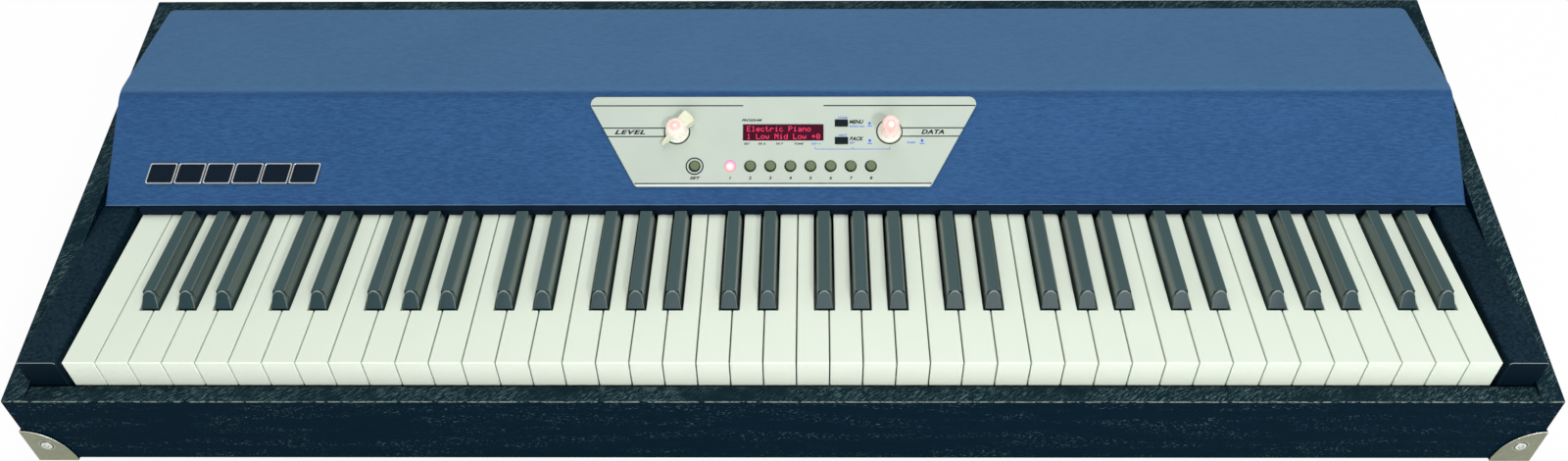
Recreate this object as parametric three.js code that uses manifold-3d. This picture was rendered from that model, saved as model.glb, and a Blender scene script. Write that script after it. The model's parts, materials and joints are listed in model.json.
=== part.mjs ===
// A 73-key stage electric piano: covered wooden case, moving keys, sloped control panel.
// Millimetres. X runs to the player's right, Y to the back and Z up, from the floor under the middle.
import * as THREE from 'three';
import { mergeVertices } from 'three/addons/utils/BufferGeometryUtils.js';
import Module from 'manifold-3d';

const wasm = await Module();
wasm.setup();

// Clearances shared by all pieces
const seam = 0.3; // between pieces that touch
const overrun = 3; // how far a cutting tool passes beyond the face that it cuts
const weldShare = 0.001; // points closer than this share of a seam become one

// Case
const backRoomDepth = 49.4; // free room between the keybed frame and the main board
const railHeight = 67; // front rail, from the case's underside
const coverProud = 2.8; // cover's flat top above the case's back edge
const sideWall = 14;
const railWall = 14;
const backWall = 15;
const bottomThickness = 12;
const edgeRound = 3; // rounded top edges of the covered boards
const footHeight = 10;
const footRadius = 17;
const footTaper = 2.5;
const footInset = 62; // foot centre from the case's ends and from its front and back
const footHoleRadius = 5;
const footHoleDepth = 5;

// Corner protectors
const protectorLeg = 32;
const protectorSheet = 1.2;

// Keyboard
const naturalPitch = 23.5;
const keyGap = 1; // between neighbouring naturals
const keyHeight = 90; // top of the naturals above the case's underside
const keyFrontGap = 1.5; // from the front rail to the naturals
const keyDip = 10; // travel at the naturals' front
const naturalLength = 156;
const naturalSkirt = 25; // height of a natural's front lip and sides
const naturalEdge = 0.8; // chamfer round a natural's top
const sharpFront = 51; // start of a sharp behind the naturals' front
const sharpBackGap = 3.5; // from a sharp to the strip behind the keys
const sharpBaseWidth = 13.7;
const sharpTopWidth = 9.6;
const sharpHeight = 10.5;
const sharpDepth = 12; // how far a sharp's body reaches below the naturals' top
const sharpLean = 7.5; // how far its front face leans back
const sharpEdge = 0.9;
const sharpDraft = 0.6; // a sharp's body narrows by this below the naturals' top
const sharpClearance = 1; // from a sharp's base to the natural beside it
const armWidth = 8;
const armTop = 2; // below the naturals' top
const armBottom = 9;
const armLapLength = 9; // length of arm inside the cap
const sharpPivotY = 203;
const pivotSpacing = 15; // the naturals turn this much further back
const pivotDrop = 15; // both pivot rods below the naturals' top
const rodRadius = 2;
const bossRadius = 5;
const bearingClearance = 0.3;

// Keybed frame
const frameSheet = 2;
const frameDeckDrop = 42; // deck top below the naturals' top
const frameFront = 8;
const frameBackMargin = 14; // frame behind the naturals' pivot rod
const frameLipWidth = 20;
const earClearance = 1.2; // from an ear to the arm beside it
const earReachLength = 8; // ear beyond the rods, front and back
const earTopMargin = 5; // ear above the rods
const stopRailWidth = 14; // padded rail that the naturals come down on
const stopGap = 1.5; // from a pressed natural's skirt to the rail

// Cheek blocks and the strip behind the keys
const cheekGap = 1; // from a cheek block to the side wall
const cheekKeyGap = 1.5; // from a cheek block to the end key
const cheekWidth = 28.75;
const cheekLapLength = 35; // length of a cheek block under the cover
const cheekRise = 4.6; // height gained from the front to the cover
const cheekRound = 4;
const stripReach = 4.5; // strip ahead of the cover's front edge
const stripLapLength = 17; // strip under the cover
const stripLiftHeight = 1; // strip above the naturals
const stripNoseHeight = 4.8; // height of its front face

// Top cover
const coverFront = 155; // lower front edge behind the naturals' front
const coverLip = 7; // lower front edge above the naturals
const coverSlope = THREE.MathUtils.degToRad(32.6);
const coverSheet = 5;
const coverGap = 2; // to the side walls
const coverBackGap = 0.8; // to the rear panel
const creaseRadius = 28;
const coverCornerRadius = 9;

// Control panel: x from the middle, y up the slope from the cover's lower edge
const panelSheet = 2;
const panelFootMargin = 16.4; // from the plate's lower edge to the button row
const panelHeadMargin = 30.6; // from the display's middle to the plate's upper edge
const panelSideMargin = 47.2; // from the row's outermost button to the plate's lower corner
const panelTopHalf = 155;
const panelCorner = 5.7;
const panelFootCorner = 1.6;
const panelLapWidth = 8; // how far the plate lies on the cover round its opening
const panelOverCrease = 2.65; // plate beyond the slope's straight part
const knobX = 84.2;
const knobRise = 28.3; // from the button row to the knobs
const displayWidth = 64;
const displayHeight = 13.2;
const displayRise = 28.1; // from the button row to the display's middle
const displayRecess = 0.7;
const displayFlange = 4;
const displayFlangeSheet = 3;
const buttonY = 31;
const buttonRadius = 4.1;
const buttonRise = 1.3; // crown above the plate
const buttonEdge = 0.7;
const buttonFlange = 1.2;
const buttonFlangeSheet = 1.5;
const buttonStemRadius = 1.8;
const buttonTravel = 0.8;
const bankGap = 28; // from the bank button to the first patch button
const firstPatchX = -41.8;
const patchPitch = 15.857;
const patchCount = 8;
const menuGap = 9.3; // from the display opening to the menu buttons
const menuUpperRise = 7.45; // above the display's middle
const menuLowerDrop = 7.1;
const menuWidth = 9.8;
const menuHeight = 5.3;
const menuRise = 1;

// Board behind the panel
const boardSheet = 1.6;
const boardDrop = 14.4; // board's face below the cover's surface
const boardSideMargin = 19; // inside the plate's lower corners
const boardFootMargin = 7.4; // inside the plate's lower edge
const boardHeadMargin = 9.7; // inside its upper edge
const standoffRadius = 3;
const standoffInset = 6;
const switchSide = 6;
const switchHeight = 6.4;
const potSide = 16;
const potHeight = 10.4;
const bushingWall = 1.2;
const bushingRise = 0.3; // bushing above the plate
const shaftRadius = 3;
const shaftClearance = 0.3;
const boreFloor = 2.4; // material left under a shaft's bore
const shaftEndGap = 1;
const pushTravel = 0.7;
const plungerHeight = 2.2;

// Knobs
const knobLift = 1; // knob's underside above the plate
const knobSocketClearance = 1.5; // from the bushing to the socket under a knob
const knobSocketDepth = 1.5;
const volumeSkirtRadius = 9.2;
const volumeHubRadius = 8.2;
const volumeSkirtHeight = 2.4;
const volumeDomeHeight = 7.6; // dome's centre above the knob's underside
const barHeight = 10.4;
const barTailReach = 16;
const barTailHalf = 5.7;
const barRootHalf = 4.6;
const barTipReach = 15.8;
const barTipHalf = 0.9;
const barTipHeight = 4.6;
const barEdge = 0.8;
const pointerTurn = THREE.MathUtils.degToRad(135); // pointer from straight up the slope, at rest
const valueBaseRadius = 8;
const valueDomeRadius = 6.7;
const valueBandHeight = 1.4;
const valueDomeHeight = 18.4;

// Badge: six blank framed tiles
const badgeTiles = 6;
const badgeMargin = 30.1; // from the cover's left side
const badgeBottom = 17;
const badgeHeight = 17;
const badgePitch = 22.7;
const badgeTileGap = 0.9;
const badgeSlant = 3.5; // sideways lean over its height
const badgeThickness = 2.2;
const badgeBacking = 0.8;
const badgeBackingInset = 1.6;
const badgeRim = 1.1;
const badgeRecess = 0.7;
const badgeCorner = 1.6;

// Rear connectors
const recessMargin = 46; // from the left side wall to the recess
const recessEdge = 8.5; // from the power module's flange to the recess's end
const connectorSheet = 1.5;
const connectorLapWidth = 10;
const connectorClearance = 4; // from the plate to the bottom board and to the cover
const jackPitch = 25;
const jackCount = 4;
const jackFirstX = 10; // first jack from the recess's middle
const jackBodyWidth = 15;
const jackLength = 28;
const jackWall = 1.5; // wall of a jack's bushing
const jackBore = 3.3;
const jackRise = 3; // jack bushing beyond the plate
const dinX = -22;
const dinPitch = 24;
const dinRadius = 7.8;
const dinCount = 2;
const usbGap = 20; // from the last round socket's middle to the square socket's
const usbWidth = 12;
const usbHeight = 11;
const usbRecess = 3;
const usbWall = 1.6;
const socketDepth = 14;
const socketRise = 0.5;
const mainBoardDepth = 66;
const mainBoardMargin = 8;
const mainBoardPostRadius = 3;
const chipWidth = 18;
const chipHeight = 3;
const supplyWidth = 40;
const supplyDepth = 30;
const supplyHeight = 24;

// Power module: mains inlet and rocker side by side
const powerGap = 5; // from the main board
const powerWall = 2;
const powerDivider = 6.2; // between the inlet and the rocker
const powerFloor = 6.3; // material behind the inlet
const powerFlange = 2.5;
const powerFlangeSheet = 2;
const inletWidth = 24;
const inletHeight = 16;
const inletDepth = 16;
const inletCorner = 4.5;
const pinWidth = 2;
const pinHeight = 4;
const pinLength = 10;
const pinPitch = 7;
const pinRise = 2;
const rockerLength = 18.4;
const rockerWidth = 12.4;
const rockerDepth = 5;
const rockerDish = 1.3;
const rockerTaper = 1.5;
const rockerPivot = 3; // pivot behind the module's face
const rockerTilt = THREE.MathUtils.degToRad(8);
const rockerClearance = 0.7;
const rockerRoomDepth = 2; // free room behind the rocker

// Facets
const roundSides = 20;
const buttonSides = 14;
const smallSides = 12;
const rodSides = 8;
const creaseSteps = 6;
const cornerSteps = 3;
const domeSteps = 5;

// The notes, counted from C0
const notesPerOctave = 12;
const naturalsPerOctave = 7;
const noteNames = ['C', 'C_sharp', 'D', 'D_sharp', 'E', 'F', 'F_sharp', 'G', 'G_sharp', 'A', 'A_sharp', 'B'];
const naturalNotes = [0, 2, 4, 5, 7, 9, 11];
const lowSection = { first: 0, keys: 5, naturals: 3 }; // C to E
const highSection = { first: 5, keys: 7, naturals: 4 }; // F to B
const firstNote = 16; // E1
const noteC3 = 36;
const singleFirst = 48; // C4, the first key of its own
const singleLast = 59; // B4
const noteC6 = 72;
const lastNote = 88; // E7

// A natural's place among all naturals
const naturalIndex = (note) => Math.floor(note / notesPerOctave) * naturalsPerOctave
  + naturalNotes.indexOf(note % notesPerOctave);
const naturalCount = naturalIndex(lastNote) - naturalIndex(firstNote) + 1;

// Faces and heights that several pieces share, in the case
const keyboardHalf = (naturalCount * naturalPitch) / 2;
const cheekInner = keyboardHalf - keyGap / 2 + cheekKeyGap;
const cheekOuter = cheekInner + cheekWidth;
const innerSide = cheekOuter + cheekGap;
const halfWidth = innerSide + sideWall;
const frameBack = sharpPivotY + pivotSpacing + frameBackMargin; // behind the naturals' front
const boardRoomDepth = backRoomDepth + mainBoardDepth + 2 * seam + connectorSheet;
const caseDepth = railWall + keyFrontGap + frameBack + boardRoomDepth + backWall;
const frontFace = -caseDepth / 2;
const backFace = caseDepth / 2;
const underside = footHeight;
const boardFace = underside + bottomThickness; // upper face of the bottom board
const innerBack = backFace - backWall;
const innerFront = frontFace + railWall;
const keyFrontFace = innerFront + keyFrontGap;
const keySurface = underside + keyHeight;

// Places on the slope
const displayY = buttonY + displayRise;
const knobY = buttonY + knobRise;
const patchPositions = Array.from({ length: patchCount }, (_, i) => firstPatchX + i * patchPitch);
const panelBottom = buttonY - panelFootMargin;
const panelTop = displayY + panelHeadMargin;
const bankX = firstPatchX - bankGap;
const rowReach = Math.max(-bankX, patchPositions[patchCount - 1]);
const panelBottomHalf = rowReach + panelSideMargin;
const boardHalf = panelBottomHalf - boardSideMargin;
const boardBottom = panelBottom + boardFootMargin;
const boardTop = panelTop - boardHeadMargin;

// Places in the keyboard's frame, from the middle of the naturals' front top edge
const naturalPivotY = sharpPivotY + pivotSpacing;
const stripFront = coverFront - stripReach;
const sharpBack = stripFront - sharpBackGap;
const slopeWay = [Math.cos(coverSlope), Math.sin(coverSlope)];
const slopeOut = [-Math.sin(coverSlope), Math.cos(coverSlope)];
const slopeLength = panelTop - panelOverCrease; // straight part of the cover's slope
const coverTop = coverLip + slopeLength * slopeWay[1] + creaseRadius * (1 - slopeOut[1]);
const coverBack = innerBack - coverBackGap - keyFrontFace;
const coverFoot = coverLip - coverSheet * slopeOut[1]; // lower rim of the cover's ends
const coverHalf = innerSide - coverGap;
const backHeight = keyHeight + coverTop - coverProud; // side walls at the back, above the case's underside

// Materials
const finish = (color, roughness, metalness = 0) =>
  new THREE.MeshStandardMaterial({ color, roughness, metalness });
const looks = {
  tolex: () => finish('#12161b', 0.6),
  vinyl: () => finish('#2f5c9c', 0.5),
  cheek: () => finish('#1a2024', 0.55),
  ivory: () => finish('#e6eadb', 0.3),
  ebony: () => finish('#262b2d', 0.4),
  silver: () => finish('#c9cdc3', 0.45, 0.3),
  frosted: () => finish('#efe6da', 0.3),
  olive: () => finish('#6f7a62', 0.35),
  lamp: () => finish('#ff7f86', 0.3),
  black: () => finish('#11161a', 0.4),
  display: () => finish('#38121a', 0.15),
  nickel: () => finish('#aeb0a2', 0.3, 0.9),
  chrome: () => finish('#d4d6d2', 0.15, 1),
  rubber: () => finish('#151515', 0.85),
  steel: () => finish('#9a9d9f', 0.4, 0.9),
  board: () => finish('#1e5a36', 0.5),
};

// Solids and meshes
function solid(geometry) {
  const bare = geometry.clone();
  bare.deleteAttribute('normal');
  bare.deleteAttribute('uv');
  const merged = mergeVertices(bare, seam * weldShare);
  return new wasm.Manifold(new wasm.Mesh({
    numProp: 3,
    vertProperties: new Float32Array(merged.attributes.position.array),
    triVerts: new Uint32Array(merged.index.array),
  }));
}

function geometryOf(body) {
  const { vertProperties, triVerts } = body.getMesh();
  const indexed = new THREE.BufferGeometry();
  indexed.setAttribute('position', new THREE.BufferAttribute(new Float32Array(vertProperties), 3));
  indexed.setIndex(new THREE.BufferAttribute(new Uint32Array(triVerts), 1));
  const flat = indexed.toNonIndexed();
  flat.computeVertexNormals();
  return flat;
}

const joined = (bodies) => bodies.reduce((whole, body) => whole.add(body));
const without = (body, tools) => tools.reduce((rest, tool) => rest.subtract(tool), body);

function add(parent, name, body, material) {
  const mesh = new THREE.Mesh(geometryOf(body), material);
  mesh.name = name;
  parent.add(mesh);
  return mesh;
}

// A block between two opposite corners
function block([x0, y0, z0], [x1, y1, z1]) {
  const geometry = new THREE.BoxGeometry(x1 - x0, y1 - y0, z1 - z0);
  geometry.translate((x0 + x1) / 2, (y0 + y1) / 2, (z0 + z1) / 2);
  return solid(geometry);
}

// An upright round bar
function upright(x, y, radius, z0, z1, sides = smallSides) {
  const geometry = new THREE.CylinderGeometry(radius, radius, z1 - z0, sides);
  geometry.rotateX(Math.PI / 2);
  geometry.translate(x, y, (z0 + z1) / 2);
  return solid(geometry);
}

// A round bar along X
function crossbar(y, z, radius, x0, x1, sides = rodSides) {
  const geometry = new THREE.CylinderGeometry(radius, radius, x1 - x0, sides);
  geometry.rotateZ(Math.PI / 2);
  geometry.translate((x0 + x1) / 2, y, z);
  return solid(geometry);
}

// A round bar along Y
function depthbar(x, z, radius, y0, y1, sides = smallSides) {
  const geometry = new THREE.CylinderGeometry(radius, radius, y1 - y0, sides);
  geometry.translate(x, (y0 + y1) / 2, z);
  return solid(geometry);
}

const shapeOf = (points) => new THREE.Shape(points.map(([x, y]) => new THREE.Vector2(x, y)));

// A flat outline in X and Y, raised from z0 to z1
function plate(points, z0, z1) {
  const geometry = new THREE.ExtrudeGeometry(shapeOf(points), { depth: z1 - z0, bevelEnabled: false });
  geometry.translate(0, 0, z0);
  return solid(geometry);
}

// A side view in Y and Z, drawn out from x0 to x1
function profile(points, x0, x1) {
  const geometry = new THREE.ExtrudeGeometry(shapeOf(points), { depth: x1 - x0, bevelEnabled: false });
  geometry.applyMatrix4(new THREE.Matrix4().set(0, 0, 1, x0, 1, 0, 0, 0, 0, 1, 0, 0, 0, 0, 0, 1));
  return solid(geometry);
}

// A front view in X and Z, drawn out from y0 to y1
function elevation(points, y0, y1) {
  const geometry = new THREE.ExtrudeGeometry(shapeOf(points), { depth: y1 - y0, bevelEnabled: false });
  geometry.rotateX(Math.PI / 2);
  geometry.translate(0, y1, 0);
  return solid(geometry);
}

// A skin over sections that have as many points each, closed at both ends
function loft(sections) {
  const count = sections[0].length;
  const positions = sections.flat(2);
  const index = [];
  for (let s = 0; s + 1 < sections.length; s += 1) {
    for (let i = 0; i < count; i += 1) {
      const a = s * count + i;
      const b = s * count + ((i + 1) % count);
      index.push(a, b, b + count, a, b + count, a + count);
    }
  }
  const flatSection = sections[0].map(([x, y]) => new THREE.Vector2(x, y));
  const last = (sections.length - 1) * count;
  for (const [a, b, c] of THREE.ShapeUtils.triangulateShape(flatSection, [])) {
    index.push(a, c, b, last + a, last + b, last + c);
  }
  const geometry = new THREE.BufferGeometry();
  geometry.setAttribute('position', new THREE.Float32BufferAttribute(positions, 3));
  geometry.setIndex(index);
  return solid(geometry);
}

const atHeight = (points, z) => points.map(([x, y]) => [x, y, z]);

// The outline moved inwards by a distance; its points run anticlockwise
function inset(points, distance) {
  return points.map((point, i) => {
    const before = points[(i + points.length - 1) % points.length];
    const after = points[(i + 1) % points.length];
    const a = new THREE.Vector2(point[0] - before[0], point[1] - before[1]).normalize();
    const b = new THREE.Vector2(after[0] - point[0], after[1] - point[1]).normalize();
    const reach = distance / (1 + a.dot(b));
    return [point[0] - (a.y + b.y) * reach, point[1] + (a.x + b.x) * reach];
  });
}

// Points of an arc about a centre, with both ends
function arc([x, y], radius, from, to, steps) {
  return Array.from({ length: steps + 1 }, (_, i) => {
    const angle = from + ((to - from) * i) / steps;
    return [x + radius * Math.cos(angle), y + radius * Math.sin(angle)];
  });
}

const quarter = Math.PI / 2;

// A turned solid about the upright axis through x and y; the outline gives radius and height
function turned(x, y, outline, sides = roundSides) {
  const points = outline.map(([radius, height]) => new THREE.Vector2(radius, height));
  const geometry = new THREE.LatheGeometry(points, sides);
  geometry.rotateX(quarter);
  geometry.translate(x, y, 0);
  return solid(geometry);
}

const piano = new THREE.Group();

// Rear connectors, side by side from the recess's middle, and the recess that takes them
const jackPositions = Array.from({ length: jackCount }, (_, i) => jackFirstX + i * jackPitch);
const jackBushing = jackBore + jackWall;
const dinPositions = Array.from({ length: dinCount }, (_, i) => dinX - i * dinPitch);
const usbX = dinPositions[dinCount - 1] - usbGap;
const mainBoardLeft = usbX - usbWidth / 2 - mainBoardMargin;
const rockerRoom = rockerLength + 2 * rockerClearance;
const powerWidth = inletWidth + powerDivider + rockerRoom + 2 * powerWall;
const powerHeight = inletHeight + 2 * powerWall;
const powerX = mainBoardLeft - powerGap - powerWidth / 2;
const inletX = powerX - powerWidth / 2 + powerWall + inletWidth / 2;
const rockerX = powerX + powerWidth / 2 - powerWall - rockerRoom / 2;
const recessWidth = 2 * (powerWidth / 2 + powerFlange + recessEdge - powerX);
const recessX = recessMargin + recessWidth / 2 - innerSide;
const recessBase = bottomThickness + connectorClearance + connectorLapWidth; // above the case's underside
const recessHeight = keyHeight + coverFoot - connectorClearance - connectorLapWidth - recessBase;

// Case boards
const slopeShare = (backHeight - railHeight) / caseDepth; // rise of the side walls for their depth
const wallTop = (y) => underside + railHeight + (y - frontFace) * slopeShare;

function sideWallBoard(side) {
  const round = arc([frontFace + edgeRound, wallTop(frontFace) - edgeRound], edgeRound, Math.PI, quarter,
    cornerSteps);
  const points = [
    [frontFace, underside],
    [backFace, underside],
    [backFace, wallTop(backFace)],
    ...round.reverse(),
  ];
  const x0 = side < 0 ? -halfWidth : innerSide;
  return profile(points, x0, x0 + sideWall);
}

function frontRailBoard() {
  const top = underside + railHeight;
  const points = [
    [frontFace, underside],
    [innerFront, underside],
    ...arc([innerFront - edgeRound, top - edgeRound], edgeRound, 0, quarter, cornerSteps),
    ...arc([frontFace + edgeRound, top - edgeRound], edgeRound, quarter, Math.PI, cornerSteps),
  ];
  return profile(points, seam - innerSide, innerSide - seam);
}

function rearPanelBoard() {
  const top = underside + backHeight;
  const points = [
    [innerBack, underside],
    [backFace, underside],
    ...arc([backFace - edgeRound, top - edgeRound], edgeRound, 0, quarter, cornerSteps),
    ...arc([innerBack + edgeRound, top - edgeRound], edgeRound, quarter, Math.PI, cornerSteps),
  ];
  const board = profile(points, seam - innerSide, innerSide - seam);
  const base = underside + recessBase;
  return board.subtract(block(
    [recessX - recessWidth / 2, innerBack - overrun, base],
    [recessX + recessWidth / 2, backFace + overrun, base + recessHeight],
  ));
}

function bottomPanelBoard() {
  const half = innerSide - seam;
  return block([-half, innerFront + seam, underside], [half, innerBack - seam, boardFace]);
}

function foot(x, y) {
  const top = footHeight - seam;
  return turned(x, y, [
    [0, footHoleDepth],
    [footHoleRadius, footHoleDepth],
    [footHoleRadius, 0],
    [footRadius - footTaper, 0],
    [footRadius, top],
    [0, top],
  ]);
}

// Three quarter discs folded round a lower corner of the case
function cornerProtector(side, end) {
  const x = side * (halfWidth + seam);
  const y = end * (caseDepth / 2 + seam);
  const z = underside - seam;
  const reach = protectorLeg + seam;
  const outX = side * protectorSheet;
  const outY = end * protectorSheet;
  const round = arc([0, 0], reach, 0, quarter, domeSteps);
  const disc = (u, v, signU, signV) => [
    [u, v],
    ...round.map(([a, b]) => [u + signU * a, v + signV * b]),
  ];
  const face = elevation(disc(x, z, -side, 1), Math.min(y, y + outY), Math.max(y, y + outY));
  const cheek = profile(disc(y, z, -end, 1), Math.min(x, x + outX), Math.max(x, x + outX));
  const sole = plate(disc(x, y, -side, -end), z - protectorSheet, z);
  const ridge = [
    block(
      [Math.min(x, x + outX), Math.min(y, y + outY), z - protectorSheet],
      [Math.max(x, x + outX), Math.max(y, y + outY), z + reach],
    ),
    block(
      [Math.min(x + outX, x - side * reach), Math.min(y, y + outY), z - protectorSheet],
      [Math.max(x + outX, x - side * reach), Math.max(y, y + outY), z],
    ),
    block(
      [Math.min(x, x + outX), Math.min(y + outY, y - end * reach), z - protectorSheet],
      [Math.max(x, x + outX), Math.max(y + outY, y - end * reach), z],
    ),
  ];
  return joined([face, cheek, sole, ...ridge]);
}

function addCase() {
  add(piano, 'bottom_board', bottomPanelBoard(), looks.tolex());
  add(piano, 'front_rail', frontRailBoard(), looks.tolex());
  add(piano, 'left_side_wall', sideWallBoard(-1), looks.tolex());
  add(piano, 'right_side_wall', sideWallBoard(1), looks.tolex());
  add(piano, 'rear_panel', rearPanelBoard(), looks.tolex());
  for (const [endName, end] of [['front', -1], ['rear', 1]]) {
    for (const [sideName, side] of [['left', -1], ['right', 1]]) {
      const corner = `${endName}_${sideName}`;
      add(piano, `corner_protector_${corner}`, cornerProtector(side, end), looks.nickel());
      const x = side * (halfWidth - footInset);
      const y = end * (caseDepth / 2 - footInset);
      add(piano, `foot_${corner}`, foot(x, y), looks.rubber());
    }
  }
}

// Keyboard, from the middle of the naturals' front top edge
const keyboard = new THREE.Group();
keyboard.position.set(0, keyFrontFace, keySurface);
piano.add(keyboard);

// Arms and sharps share out the naturals' width evenly, C to E and F to B
function armCentre(note) {
  const step = note % notesPerOctave;
  const section = step < highSection.first ? lowSection : highSection;
  const firstNatural = naturalIndex(note - step + section.first);
  const pitch = (section.naturals * naturalPitch) / section.keys;
  return naturalEdgeX(firstNatural) + (step - section.first) * pitch + pitch / 2;
}

// Left edge of a natural, by its place among all naturals
function naturalEdgeX(index) {
  return (index - naturalIndex(firstNote) - naturalCount / 2) * naturalPitch;
}

const isSharp = (note) => !naturalNotes.includes(note % notesPerOctave);
const onKeyboard = (note) => note >= firstNote && note <= lastNote;

function naturalOutline(note) {
  const index = naturalIndex(note);
  const left = naturalEdgeX(index) + keyGap / 2;
  const right = naturalEdgeX(index + 1) - keyGap / 2;
  const room = sharpBaseWidth / 2 + sharpClearance;
  const notch = sharpFront - sharpClearance;
  const points = [[left, 0], [right, 0]];
  if (isSharp(note + 1) && onKeyboard(note + 1)) {
    points.push([right, notch], [armCentre(note + 1) - room, notch]);
    points.push([armCentre(note + 1) - room, naturalLength]);
  } else {
    points.push([right, naturalLength]);
  }
  if (isSharp(note - 1) && onKeyboard(note - 1)) {
    points.push([armCentre(note - 1) + room, naturalLength], [armCentre(note - 1) + room, notch]);
    points.push([left, notch]);
  } else {
    points.push([left, naturalLength]);
  }
  return points;
}

// The arm behind a cap, with the boss that sits on its pivot rod
function keyArm(note, capBack, pivotY) {
  const x = armCentre(note);
  const low = -pivotDrop - bossRadius;
  return profile([
    [capBack - armLapLength, -armBottom],
    [pivotY - bossRadius, -armBottom],
    [pivotY - bossRadius, low + bossRadius / 2],
    [pivotY - bossRadius / 2, low],
    [pivotY + bossRadius / 2, low],
    [pivotY + bossRadius, low + bossRadius / 2],
    [pivotY + bossRadius, -armTop],
    [capBack - armLapLength, -armTop],
  ], x - armWidth / 2, x + armWidth / 2);
}

function naturalKey(note) {
  const outline = naturalOutline(note);
  const cap = loft([
    atHeight(outline, -naturalSkirt),
    atHeight(outline, -naturalEdge),
    atHeight(inset(outline, naturalEdge), 0),
  ]);
  return cap.add(keyArm(note, naturalLength, naturalPivotY));
}

// A sharp's outline at one height
function sharpOutline(x, half, front, back) {
  return [[x - half, front], [x + half, front], [x + half, back], [x - half, back]];
}

// A sharp narrows towards its top and its front leans back
function sharpKey(note) {
  const x = armCentre(note);
  const base = sharpBaseWidth / 2;
  const top = sharpTopWidth / 2;
  const edgeHeight = sharpHeight - sharpEdge;
  const cap = loft([
    atHeight(sharpOutline(x, base - sharpDraft, sharpFront, sharpBack), -sharpDepth),
    atHeight(sharpOutline(x, base, sharpFront, sharpBack), 0),
    atHeight(sharpOutline(x, top, sharpFront + sharpLean, sharpBack - sharpEdge / 2), edgeHeight),
    atHeight(sharpOutline(x, top - sharpEdge, sharpFront + sharpLean + sharpEdge, sharpBack - sharpEdge),
      sharpHeight),
  ]);
  return cap.add(keyArm(note, sharpBack, sharpPivotY));
}

const keyBody = (note) => (isSharp(note) ? sharpKey(note) : naturalKey(note));
const pivotOf = (sharp) => (sharp ? sharpPivotY : naturalPivotY);

// Ears of the frame stand at the octave limits, between two arms, and at both ends
const earThickness = armCentre(singleFirst) - armCentre(singleFirst - 1) - armWidth - 2 * earClearance;
const endEarThickness = cheekInner - seam - armCentre(lastNote) - armWidth / 2 - earClearance;
const endEarOffset = armWidth / 2 + earClearance + endEarThickness / 2;
const sectionLimits = [firstNote, noteC3, singleFirst, singleLast + 1, noteC6, lastNote + 1];
const earCentres = sectionLimits.map((note) => {
  if (note === firstNote) return armCentre(note) - endEarOffset;
  if (note > lastNote) return armCentre(lastNote) + endEarOffset;
  return (armCentre(note - 1) + armCentre(note)) / 2;
});
const earHalf = (i) => (i === 0 || i === earCentres.length - 1 ? endEarThickness : earThickness) / 2;
const singleSection = sectionLimits.indexOf(singleFirst);

function addSingleKeys() {
  for (let note = singleFirst; note <= singleLast; note += 1) {
    const x = armCentre(note);
    const bore = crossbar(pivotOf(isSharp(note)), -pivotDrop, rodRadius + bearingClearance,
      x - armWidth, x + armWidth);
    const name = `key_${noteNames[note % notesPerOctave]}${Math.floor(note / notesPerOctave)}`;
    add(keyboard, name, keyBody(note).subtract(bore), isSharp(note) ? looks.ebony() : looks.ivory());
  }
}

// The naturals or the sharps of one section, on their own length of pivot rod
function addKeySection(section, title) {
  const notes = Array.from({ length: sectionLimits[section + 1] - sectionLimits[section] },
    (_, i) => sectionLimits[section] + i);
  for (const sharp of [false, true]) {
    const rod = crossbar(pivotOf(sharp), -pivotDrop, rodRadius,
      earCentres[section] + seam, earCentres[section + 1] - seam);
    const keys = notes.filter((note) => isSharp(note) === sharp).map(keyBody);
    add(keyboard, `${sharp ? 'sharps' : 'naturals'}_${title}`, joined([rod, ...keys]),
      sharp ? looks.ebony() : looks.ivory());
  }
}

// Pressed-steel keybed: a deck on folded legs, a stop rail in front and ears for the rods
function keybedFrame() {
  const half = cheekInner - seam;
  const deck = -frameDeckDrop;
  const railTop = -naturalSkirt - keyDip - stopGap;
  const floor = boardFace + seam - keySurface;
  const pieces = [
    block([-half, frameFront, deck - frameSheet], [half, frameBack, deck]),
    block([-half, frameFront, floor], [half, frameFront + frameSheet, deck]),
    block([-half, frameBack - frameSheet, floor], [half, frameBack, deck]),
    block([-half, frameFront, floor], [half, frameFront + frameLipWidth, floor + frameSheet]),
    block([-half, frameBack - frameLipWidth, floor], [half, frameBack, floor + frameSheet]),
    block([-half, frameFront, deck - frameSheet], [half, frameFront + stopRailWidth, railTop]),
  ];
  const ears = earCentres.map((x, i) => block(
    [x - earHalf(i), sharpPivotY - earReachLength, deck - frameSheet / 2],
    [x + earHalf(i), naturalPivotY + earReachLength, earTopMargin - pivotDrop],
  ));
  const whole = joined([...pieces, ...ears]);
  return joined([without(whole, rodBores()), ...fixedRods()]);
}

// Bearings for the turning rods, from each ear's middle towards a section of grouped keys
function rodBores() {
  const bores = [];
  earCentres.forEach((x, i) => {
    const openLeft = i > 0 && i - 1 !== singleSection;
    const openRight = i + 1 < earCentres.length && i !== singleSection;
    const left = openLeft ? x - earThickness : x;
    const right = openRight ? x + earThickness : x;
    for (const y of [sharpPivotY, naturalPivotY]) {
      bores.push(crossbar(y, -pivotDrop, rodRadius + bearingClearance, left, right));
    }
  });
  return bores;
}

// The rods of the single keys stay still
function fixedRods() {
  return [sharpPivotY, naturalPivotY].map((y) => crossbar(y, -pivotDrop, rodRadius,
    earCentres[singleSection] + seam, earCentres[singleSection + 1] - seam));
}

function addKeyboard() {
  add(keyboard, 'keybed_frame', keybedFrame(), looks.steel());
  addKeySection(0, 'E1_to_B2');
  addKeySection(1, 'C3_to_B3');
  addSingleKeys();
  addKeySection(3, 'C5_to_B5');
  addKeySection(4, 'C6_to_E7');
}

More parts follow.
